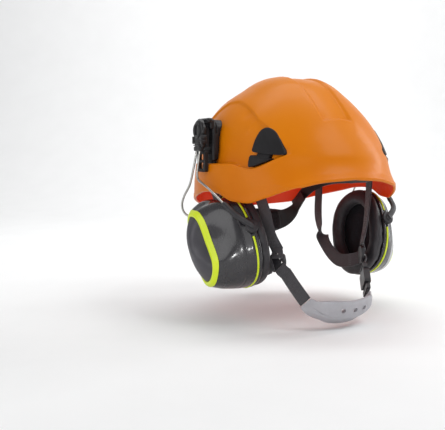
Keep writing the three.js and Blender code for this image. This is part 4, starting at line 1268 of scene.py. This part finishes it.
def sleeves(sign, side):
    """Sleeves from the wire's ends to round paddles on the cup's edge."""
    for tag, facing, start, before, middle in (
            ("front", 1, WIRE[0], WIRE[1], (106, -65, -39.5)),
            ("rear", -1, WIRE[-1], WIRE[-2], (100.5, 31, -66))):
        start = np.array(start, float)
        direction = unit(start - np.array(before, float))
        outwards = CUP_FORE * facing
        pivot = (CUP_ORIGIN + CUP_OUT * PIVOT_OUT + CUP_UP * PIVOT_UP
                 + CUP_FORE * (facing * PIVOT_FORE))
        path = spline([start + direction * .2, middle, pivot + outwards * 1.4], 40)
        across = unit(np.cross(tangents(path), outwards))
        u = np.linspace(0, 1, len(path))
        # three ridges near the wire's mouth
        ridges = sum(.35 * bell(u, at, .015) for at in (.06, .12, .18))
        width = 2.2 + .35 * ease(0, .05, u) + 1.1 * u + ridges
        thickness = 2.0 + .45 * ease(0, .05, u) + .25 * u + ridges
        parts = [sweep(path, across, superellipse(1, 1, 2.8, 28),
                       scale=np.stack([width, thickness], 1))[:2]]

        def place(points, height):
            return (pivot + points[:, :1] * CUP_OUT + points[:, 1:] * CUP_UP
                    + (height - 1.5) * outwards)
        for radius, count, bottom, top, edge, back_edge, crown in PADDLE_PLATES:
            disc = resample(ellipse(radius, radius, 28), count)
            parts.append(plate(disc, bottom, top, place, edge, crown, back_edge))
        verts, faces = join(parts)
        add_mesh(f"wire_sleeve_{tag}_{side}", verts * [sign, 1, 1], faces, "sleeve_black",
                 f"sleeves_{side}", "black_plastic", f"sleeve_{tag}_{side}", sharp=50)


# ------------------------------------------------------------------ straps
# The lower strap runs from the junction at the jaw down to the chin pad's end. Its frame:
# down along it, across it, and out from the head.
JUNCTION = np.array([56.5, -67.0, -92.0])
CHIN_END = np.array([40.0, -99.0, -134.0])
LOWER_LENGTH = float(np.linalg.norm(CHIN_END - JUNCTION))
DOWN = unit(CHIN_END - JUNCTION)
_outwards = np.array([.9, -.42, 0])
OUT = unit(_outwards - (_outwards @ DOWN) * DOWN)
ACROSS = unit(np.cross(DOWN, OUT))


def strap_point(down, across=0.0, out=0.0):
    return JUNCTION + DOWN * down + ACROSS * across + OUT * out


FRONT_STRAP = [(78.4, -53.4, -4), (75.4, -56.4, -16), (70, -60.4, -36), (65, -62.4, -60),
               strap_point(-10.6, 8.0)]
REAR_STRAP = [(78.4, 53.4, -4), (76, 50, -20), (67.4, 38, -58), (61.6, 14, -88),
              (58.4, -18, -103.5), (59, -41, -101.5), strap_point(-3.8, -12.4)]
FRONT_COUNT, REAR_COUNT = 90, 140
SEWN_COUNT = 14


def front_across(u):
    """Width direction of the front strap at a share of its length."""
    return [.25, 1, .1] + np.multiply.outer(u, [.23, -.11, -.1])


def rear_across(u):
    return [.1, .75, .35] + np.multiply.outer(u, [.14, -.46, .57])


def strap(name, points, across, body, count, replaces=None, width=16.0, thickness=1.5,
          sign=1.0):
    verts, faces, uvs = sweep(spline(points, count) * [sign, 1, 1], across * [sign, 1, 1],
                              strip_section(width, thickness, .12))
    return add_mesh(name, verts, faces, "webbing_grey", body, "webbing", replaces, uvs=uvs)


def stitches(name, line, across, sign):
    """Rows of six short threads across a strap, on both of its faces."""
    count, gap, length, off = 6, 2.4, 1.7, .85
    # (share of the thread's length, radius)
    profile = ((0, .12), (.15, .28), (.5, .34), (.85, .28), (1, .12))
    parts = []
    for point, wide, along in zip(line, unit(across), tangents(line)):
        normal = unit(np.cross(along, wide))
        for k in range(count):
            for face in (1, -1):
                middle = point + wide * ((k - (count - 1) / 2) * gap) + normal * off * face
                rings = []
                for f, radius in profile:
                    x, y = ellipse(radius, radius, 6).T[..., None]
                    rings.append(middle + along * (length * (f - .5)) + x * wide + y * normal)
                parts.append(loft(rings))
    verts, faces = join(parts)
    add_mesh(name, verts * [sign, 1, 1], faces, "stitch_thread", "root", "webbing")


def upper_straps(sign, side):
    front_line = spline(FRONT_STRAP, FRONT_COUNT)
    rear_line = spline(REAR_STRAP, REAR_COUNT)
    strap(f"strap_front_{side}", FRONT_STRAP, front_across(np.linspace(0, 1, FRONT_COUNT + 1)),
          "root", FRONT_COUNT, f"front_strap_{side}", sign=sign)
    strap(f"strap_rear_{side}", REAR_STRAP, rear_across(np.linspace(0, 1, REAR_COUNT + 1)),
          "root", REAR_COUNT, f"rear_strap_{side}", sign=sign)
    stitches(f"stitch_front_{side}", front_line[[76, 79]], front_across([.85, .88]), sign)
    stitches(f"stitch_rear_{side}", rear_line[[126, 128]], rear_across([.9, .92]), sign)


# (across, down)
JUNCTION_OUTLINE = [(0, 9), (-5, 8), (-9, 6), (-12.3, 4), (-8.2, -10.2), (.2, -12.8),
                    (12.6, -3.4), (9, 4), (5, 8)]


def junction(sign, side):
    """Plate that joins the three straps, with a raised bar for each."""
    def place(points, height):
        return strap_point(points[:, 1:], points[:, :1], height - 2) * [sign, 1, 1]
    outline = resample(cut_corners(JUNCTION_OUTLINE, 2, .2), 120)
    parts = [plate(outline, 0, 4.0, place, edge=1.1, back_edge=.8)]
    for degrees, distance, half in ((90, 6.2, 5.6), (-52, 8.0, 5.6), (197, 8.4, 5.0)):
        a = math.radians(degrees)
        outwards = np.array([math.cos(a), math.sin(a)])
        sideways = np.array([-outwards[1], outwards[0]])
        bar = [outwards * (distance + y) + sideways * half * x
               for x, y in ((-1, -1.1), (1, -1.1), (1, 1.1), (-1, 1.1))]
        parts.append(plate(resample(cut_corners(bar, 2, .2), 48), 3.4, 4.9, place,
                           edge=.5, rows=3, inner=2))
    add_mesh(f"junction_{side}", *join(parts), "buckle_black", "root", "black_plastic",
             f"strap_divider_{side}", sharp=55)


def rivets(sign, side):
    """Three small domed rivets down the junction's front edge."""
    radius, height, steps = 1.35, 1.0, 5
    x_axis = unit(np.cross(OUT, [0.3, 0.8, 0.5]))
    y_axis = np.cross(OUT, x_axis)
    parts = []
    for down, across in ((-7.2, 6.4), (-2.2, 5.6), (2.8, 4.6)):
        rings = []
        for k in range(steps + 1):
            a = math.pi / 2 * k / (steps + 0.4)
            x, y = ellipse(radius * math.cos(a), radius * math.cos(a), 16).T[..., None]
            rings.append(strap_point(down, across, 2.0) + OUT * height * math.sin(a)
                         + x * x_axis + y * y_axis)
        rings.insert(0, rings[0] - OUT * 0.4)
        parts.append(loft(rings))
    verts, faces = join(parts)
    add_mesh(f"junction_rivets_{side}", verts * [sign, 1, 1], faces, "rivet_steel", "root",
             "steel_wire")


def sewn_ends(sign, side):
    """Ends of the upper straps, lying on the junction."""
    front = [spline(FRONT_STRAP, FRONT_COUNT)[84], strap_point(-9.2, 7.4, 1.4),
             strap_point(-6.4, 5.4, 2.75), strap_point(-3.6, 3.4, 2.7)]
    rear = [spline(REAR_STRAP, REAR_COUNT)[134], strap_point(-3.6, -11.4, 1.3),
            strap_point(-2.6, -8.2, 2.75), strap_point(-1.4, -5.4, 2.7)]
    for tag, points, across in (("front", front, front_across(1.0)),
                                ("rear", rear, rear_across(1.0))):
        strap(f"strap_{tag}_end_{side}", points, across, "root", SEWN_COUNT, width=14,
              thickness=1.1, sign=sign)


def lower_straps():
    """The left strap starts below the buckle; loops tie both sides to the junctions."""
    end = LOWER_LENGTH - 4
    for side, sign, start, sag, count in (("right", -1.0, 13, .6, 40), ("left", 1.0, 41.8, .3, 16)):
        points = [strap_point(start), strap_point((start + end) / 2, 0, sag), strap_point(end)]
        strap(f"strap_lower_{side}", points, ACROSS, "chin_assembly", count,
              f"chin_strap_{side}", sign=sign)
    top = [strap_point(5.5, 0, 2.6), strap_point(9.5, 0, 3.0)]
    strap("strap_loop_right", top + [strap_point(13.5, 0, .9), strap_point(14.5, 0, .7)],
          ACROSS, "chin_assembly", 12, thickness=1.2, sign=-1.0)
    loop_end = 17.6
    loop = strap("strap_loop_left",
                 top + [strap_point(13.2, 0, 1.4), strap_point(loop_end, 0, .9)],
                 ACROSS, "buckle_tongue", 12, thickness=1.2)
    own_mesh(loop)


# ------------------------------------------------------------------ chin pad
CHIN_HALF = [(0, -118, -143.5), (14, -116.2, -142.8), (26, -112, -141), (35, -106, -138.6),
             strap_point(LOWER_LENGTH), strap_point(LOWER_LENGTH - 2.8)]
HOLE_XS = (-10.5, 3.0, 15.5)
HOLE_RISE = 6.0                # the holes lie this far above the pad's middle line


def chin_pad():
    count, rows = 120, 60
    path = spline(both_halves(CHIN_HALF), count)
    ends = np.abs(np.linspace(0, 1, count + 1) - .5) * 2      # 0 in the middle, 1 at both ends
    along = tangents(path)
    down = np.array([[0, .34, -.94]])
    down = unit(down - (down * along).sum(1)[:, None] * along)
    out = np.cross(along, down)
    out = out * np.sign((out * (path - [0, -80, -140])).sum(1))[:, None]
    fold_at = .22 - .9 * ends * ends
    pad = 1 - ease(.60, .84, ends)
    half_width = (31 - 12 * ease(.35, 1, ends)) / 2
    outer, inner = [], []
    for v in (-1 + 2 * k / rows for k in range(rows + 1)):
        # the upper part bulges out down to a fold, the lower lobe tucks under the chin
        upper = 1 - ease(0, 1, (v - fold_at + .02) / .10)
        fold = (2.3 * upper - 1.1 * bell(v - fold_at, .13, .06)) * pad
        bulge = 1.5 * (1 - np.abs(v) ** 2.2) * (1 - ease(.75, 1, ends)) + fold
        tuck = -7.0 * ease(.15, 1.0, v) * (1 - ease(.6, .95, ends))
        half_thickness = 1.3 * (1.0 if abs(v) < .93 else .45)
        middle = path + down * (half_width * v)[:, None]
        outer.append(middle + out * (bulge + tuck + half_thickness)[:, None])
        inner.append(middle + out * (bulge * .5 + tuck - half_thickness)[:, None])
    columns, rings = count + 1, 2 * (rows + 1)
    faces = grid_faces(rings, columns, wrap=False, close=True)
    faces.append(tuple(k * columns for k in range(rings)))
    faces.append(tuple(k * columns + count for k in range(rings))[::-1])
    piece = add_mesh("chin_pad", np.concatenate(outer + inner[::-1]), faces,
                     "chin_elastomer", slot="chin_rubber", sharp=70)

    # holes through the upper part, and a raised rim round each
    cutters, rims = [], []
    for hole_x in HOLE_XS:
        i = int(np.argmin(np.abs(path[:, 0] - hole_x)))
        centre = path[i] - down[i] * HOLE_RISE
        x, y = ellipse(2.45, 2.45, 24).T[..., None]
        cutters.append(loft([centre + out[i] * depth + x * along[i] + y * down[i]
                             for depth in (-9, 9)]))
        rise = 3.5 + 1.5 * (1 - (HOLE_RISE / half_width[i]) ** 2.2)
        spread, lift = ellipse(.5, .5, 10).T[..., None]
        rims.append(loft([centre + out[i] * (rise + lift)
                          + (math.cos(a) * along[i] + math.sin(a) * down[i]) * (2.95 + spread)
                          for a in turn(28)], closed=True))
    cutter = add_mesh("chin_holes", *join(cutters), "chin_elastomer")
    holes = piece.modifiers.new("holes", "BOOLEAN")
    holes.operation = "DIFFERENCE"
    holes.object = cutter
    holes.solver = "EXACT"
    apply_modifiers(piece)
    bpy.data.objects.remove(cutter)
    sharpen(piece, 50)
    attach(piece, "chin_assembly")
    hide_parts("chin_cup")
    add_mesh("chin_pad_eyelets", *join(rims), "chin_elastomer", "chin_assembly", "chin_rubber")


# ------------------------------------------------------------------ head suspension
HEADBAND = [(0, -106.4, 10), (24, -104.2, 10), (45, -93.5, 9.5), (61.5, -74, 9), (72, -47, 7.5),
            (77.2, -16, 5), (77.6, 12, 1), (73.5, 36, -7), (66, 54, -18), (60.6, 68, -30),
            (60, 78, -38), (60, 87, -44)]
BROW = [(0, -103.4, 10), (23.4, -101.2, 10), (43.4, -91, 9.5), (59, -72.2, 9), (69, -46, 7.5),
        (74, -16, 5)]
NAPE_Z = -64.0
CRADLE = [(0, 103.6, NAPE_Z), (20, 102.4, NAPE_Z), (36, 98, NAPE_Z + 1), (48, 91.5, -60),
          (56, 82, -51), (57.8, 72, -40), (57.8, 60, -29)]
NAPE_PAD = [(0, 99.6, NAPE_Z), (18, 98.6, NAPE_Z), (32, 95.2, NAPE_Z + .6),
            (42, 90.6, NAPE_Z + 2)]
# crown webs: half span, height of the ends, rise, thickness
WEB_SPAN, WEB_BASE, WEB_RISE, WEB_THICKNESS = 94, 25, 62, 1.5


def band(name, half, count, thickness, columns, width, narrowing, over, rib, body, replaces):
    """Moulded band that narrows towards its ends over a range of its half length."""
    path = spline(both_halves(half), count)
    ends = np.abs(np.linspace(0, 1, count + 1) - .5) * 2
    widths = width - narrowing * ease(*over, ends)
    section = strip_section(1.0, thickness, 0, columns, edge=.03)
    section[:, 0] = section[:, 0] / np.abs(section[:, 0]).max() * .5
    # ribs along both edges of the upper side of the section
    ribs = rib * bell(np.abs(section[:, 0]), .42, .035)
    section[:, 1] += np.where(section[:, 1] > 0, ribs, 0)
    verts, faces, uvs = sweep(path, [0, 0, 1], section,
                              scale=np.stack([widths, np.ones_like(widths)], 1))
    add_mesh(name, verts, faces, "harness_pe", body, "harness_plastic", replaces,
             uvs=uvs, sharp=55)


def padded_strip(half, count, section, round_from, end_scale, thickness):
    """Soft strip with rounded ends; thickness(u) scales it along its length."""
    u = np.linspace(0, 1, count + 1)
    past = ((np.abs(u - .5) * 2 - round_from) / (1 - round_from)).clip(0)
    ends = np.sqrt(clip01(1 - past ** 2)) * (1 - end_scale) + end_scale
    return sweep(spline(both_halves(half), count), [0, 0, 1], section,
                 scale=np.stack([ends, thickness(u) * ends], 1))


def brow_pad():
    """Sweatband with quilted cross seams."""
    def quilt(u):
        return .35 + .65 * np.abs(np.sin(u * math.pi * 17)) ** .45
    verts, faces, uvs = padded_strip(BROW, 260, superellipse(16.6, 1.75, 3.6, 40),
                                     round_from=.96, end_scale=.1, thickness=quilt)
    add_mesh("brow_pad", verts, faces, "knit_mesh", "root", "padding", "sweatband", uvs=uvs)


def crown_web(name, direction, lift, replaces):
    """Strap over the head from one front corner to the opposite rear corner."""
    angle = math.atan2(52.6, 78)
    t = np.radians(np.linspace(4, 176, 140))
    r = WEB_SPAN * np.cos(t)
    path = np.stack([direction * r * math.cos(angle), -r * math.sin(angle),
                     WEB_BASE + (WEB_RISE + lift) * np.sin(t)], 1)
    verts, faces, uvs = sweep(path, [direction * math.sin(angle), math.cos(angle), 0],
                              strip_section(20, WEB_THICKNESS, .1))
    add_mesh(name, verts, faces, "webbing_dark", "root", "webbing", replaces, uvs=uvs)


def crown_cushion():
    """Round pad under the crossing of the webs, with a ring seam below."""
    radius = 38.0

    def under_web(r):
        return (WEB_BASE - WEB_THICKNESS / 2
                + WEB_RISE * math.sqrt(max(0, 1 - (r / WEB_SPAN) ** 2)))
    rim_z = under_web(radius)
    profile = [(r, under_web(r) - .7) for r in np.linspace(3, radius - 2, 12)]
    profile += [(radius - .6, rim_z - 1.0), (radius, rim_z - 2.2), (radius - .8, rim_z - 3.4)]
    profile += [(r, under_web(r) - 5.2 - .8 * (1 - (r / radius) ** 2) + .7 * bell(r, 19, 1.4))
                for r in np.linspace(radius - 2.5, 3, 16)]
    rings = [np.column_stack([ellipse(r, r, 72), np.full(72, z)]) for r, z in profile]
    piece = add_mesh("crown_cushion", *loft(rings), "knit_mesh", slot="padding")
    puff(piece, voxel=2.6, pressure=1.2, most=.35)
    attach(piece, "root")
    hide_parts("crown_pad")


def nape_cushion():
    """Nape pad with two narrow channels across it."""
    def channels(u):
        return 1 - .45 * (bell(u, .33, .015) + bell(u, .67, .015))
    verts, faces, uvs = padded_strip(NAPE_PAD, 90, superellipse(13.6, 2.2, 3.2, 36),
                                     round_from=.93, end_scale=.15, thickness=channels)
    piece = add_mesh("nape_cushion", verts, faces, "knit_mesh", slot="padding", uvs=uvs)
    puff(piece, voxel=2.4, pressure=1.0, most=.35)
    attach(piece, "nape_cradle")
    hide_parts("nape_pad")


# ------------------------------------------------------------------ build
shell()
for side, sign in SIDES:
    for build in (plug, mount_base, hub, wire, sleeves, cup_bucket, mould_lines, face_panel,
                  accent_outer, accent_inner, foam, cushion):
        build(sign, side)
    bevelled(f"mount_latch_{side}", "adapter_black", .5)
    bevelled(f"arm_carrier_{side}", "adapter_black", .4)
for side, sign in SIDES:
    upper_straps(sign, side)
for side, sign in SIDES:
    junction(sign, side)
    rivets(sign, side)
    sewn_ends(sign, side)
lower_straps()
for node, mat in (("buckle_socket", "buckle_black"), ("buckle_tongue", "buckle_black"),
                  ("buckle_button", "button_orange"), ("strap_slider", "buckle_black")):
    bevelled(node, mat, .6)
chin_pad()
band("band_frame", HEADBAND, 220, thickness=1.6, columns=15, width=31, narrowing=17,
     over=(.55, .85), rib=.45, body="root", replaces="headband")
brow_pad()
crown_web("crown_web_a", 1.0, 0.0, "crown_strap_a")
crown_web("crown_web_b", -1.0, 2.6, "crown_strap_b")
crown_cushion()
for end in ("front", "rear"):
    for side in ("left", "right"):
        bevelled(f"suspension_clip_{end}_{side}", "harness_pe", .9)
band("nape_frame", CRADLE, 180, thickness=1.8, columns=13, width=34, narrowing=20,
     over=(.2, .8), rib=0, body="nape_cradle", replaces="nape_cradle")
nape_cushion()
for node, width in (("ratchet_housing", .8), ("ratchet_cover", .8), ("rack_left", .35),
                    ("rack_right", .35), ("ratchet_pinion", .35)):
    bevelled(node, "harness_pe", width)
bevelled("ratchet_knob", "adapter_black", .7)


# ------------------------------------------------------------------ stage, in metres
# Directions as seen from the camera, which looks from the front and the wearer's right.
AZIMUTH = math.radians(32.0)
AHEAD = np.array([math.sin(AZIMUTH), math.cos(AZIMUTH), 0])
RIGHT = np.array([math.cos(AZIMUTH), -math.sin(AZIMUTH), 0])
FLOOR_Z = -.1605


def stage_point(ahead, right, up, base=(0, 0, 0)):
    return AHEAD * ahead + RIGHT * right + [0, 0, up] + base


def aim(thing, target):
    """Turns a light or camera at its place to look at the target."""
    direction = Vector(target) - Vector(thing.location)
    thing.rotation_euler = direction.to_track_quat("-Z", "Y").to_euler()


def floor():
    """Floor that sweeps up behind the hat into a plain backdrop, square to the camera."""
    # (ahead, up)
    profile = [(-3.0, 0)]
    profile += [(1.2 + math.sin(a), 1.0 - math.cos(a)) for a in np.linspace(0, math.pi / 2, 24)]
    profile += [(2.2, 4.5)]
    across = np.linspace(-4, 4, 5)
    verts = [stage_point(ahead, x, FLOOR_Z + up).tolist() for ahead, up in profile
             for x in across]
    mesh = bpy.data.meshes.new("floor")
    mesh.from_pydata(verts, [], grid_faces(len(profile), len(across), wrap=False))
    shade_smooth(mesh)
    mat = Mat("floor_paper")
    colour = mat.mix(mat.noise(14.0), (.86, .86, .86, 1), (.90, .90, .90, 1))
    mat.set(Base_Color=colour, Roughness=.9, Specular_IOR_Level=.15,
            Normal=mat.bump(mat.noise(700.0), depth=.0002, strength=.3))
    mesh.materials.append(mat.material)
    piece = bpy.data.objects.new("floor", mesh)
    bpy.context.scene.collection.objects.link(piece)


def world():
    studio = bpy.data.worlds.new("studio")
    bpy.context.scene.world = studio
    studio.use_nodes = True
    background = studio.node_tree.nodes["Background"]
    background.inputs["Color"].default_value = (.97, .985, 1.0, 1)
    background.inputs["Strength"].default_value = .38


def area(name, at, target, width, height, watts):
    light = bpy.data.lights.new(name, "AREA")
    light.energy = watts
    light.shape = "RECTANGLE"
    light.size = width
    light.size_y = height
    lamp = bpy.data.objects.new(name, light)
    bpy.context.scene.collection.objects.link(lamp)
    lamp.location = at
    aim(lamp, target)


def lights():
    area("key_right", stage_point(-.55, .95, 1.15), (0, 0, .02), width=.8, height=.8, watts=9.0)
    area("fill_left", stage_point(-.7, -1.25, .5), (0, 0, -.03), width=.8, height=1.1, watts=4.3)
    area("front_soft", stage_point(-1.6, .1, .35), (0, 0, -.02), width=.9, height=1.0, watts=2.6)
    area("rim_right", stage_point(.55, 1.2, .4), (0, 0, 0), width=.35, height=1.1, watts=7.0)
    # two small lamps on the ear cup at -X
    cup = (-.105, -.065, -.0825)
    area("lamp_left", stage_point(-.7659, -.4419, -.0351, cup), cup,
         width=.07, height=.05, watts=.55)
    cup = (-.093, -.074, -.073)
    area("lamp_front", stage_point(-.9424, .11875, .02, cup), cup,
         width=.05, height=.05, watts=.45)
    area("backdrop", stage_point(.5, 0, 1.6), stage_point(2.0, 0, .3),
         width=1.6, height=1.2, watts=26.0)


def camera():
    """Level camera, with its picture shifted so that it stays square to the backdrop."""
    scene = bpy.context.scene
    lens = bpy.data.cameras.new("camera")
    holder = bpy.data.objects.new("camera", lens)
    scene.collection.objects.link(holder)
    holder.location = stage_point(-.85, 0, .024)
    holder.rotation_euler = Vector(AHEAD).to_track_quat("-Z", "Y").to_euler()
    lens.sensor_width = 36
    lens.lens = 57.276404
    lens.shift_x = -0.15168539
    lens.shift_y = -0.13483146
    lens.clip_start = .01
    lens.clip_end = 50
    scene.camera = holder
    scene.view_settings.view_transform = "Standard"
    scene.view_settings.look = "None"


floor()
world()
lights()
camera()
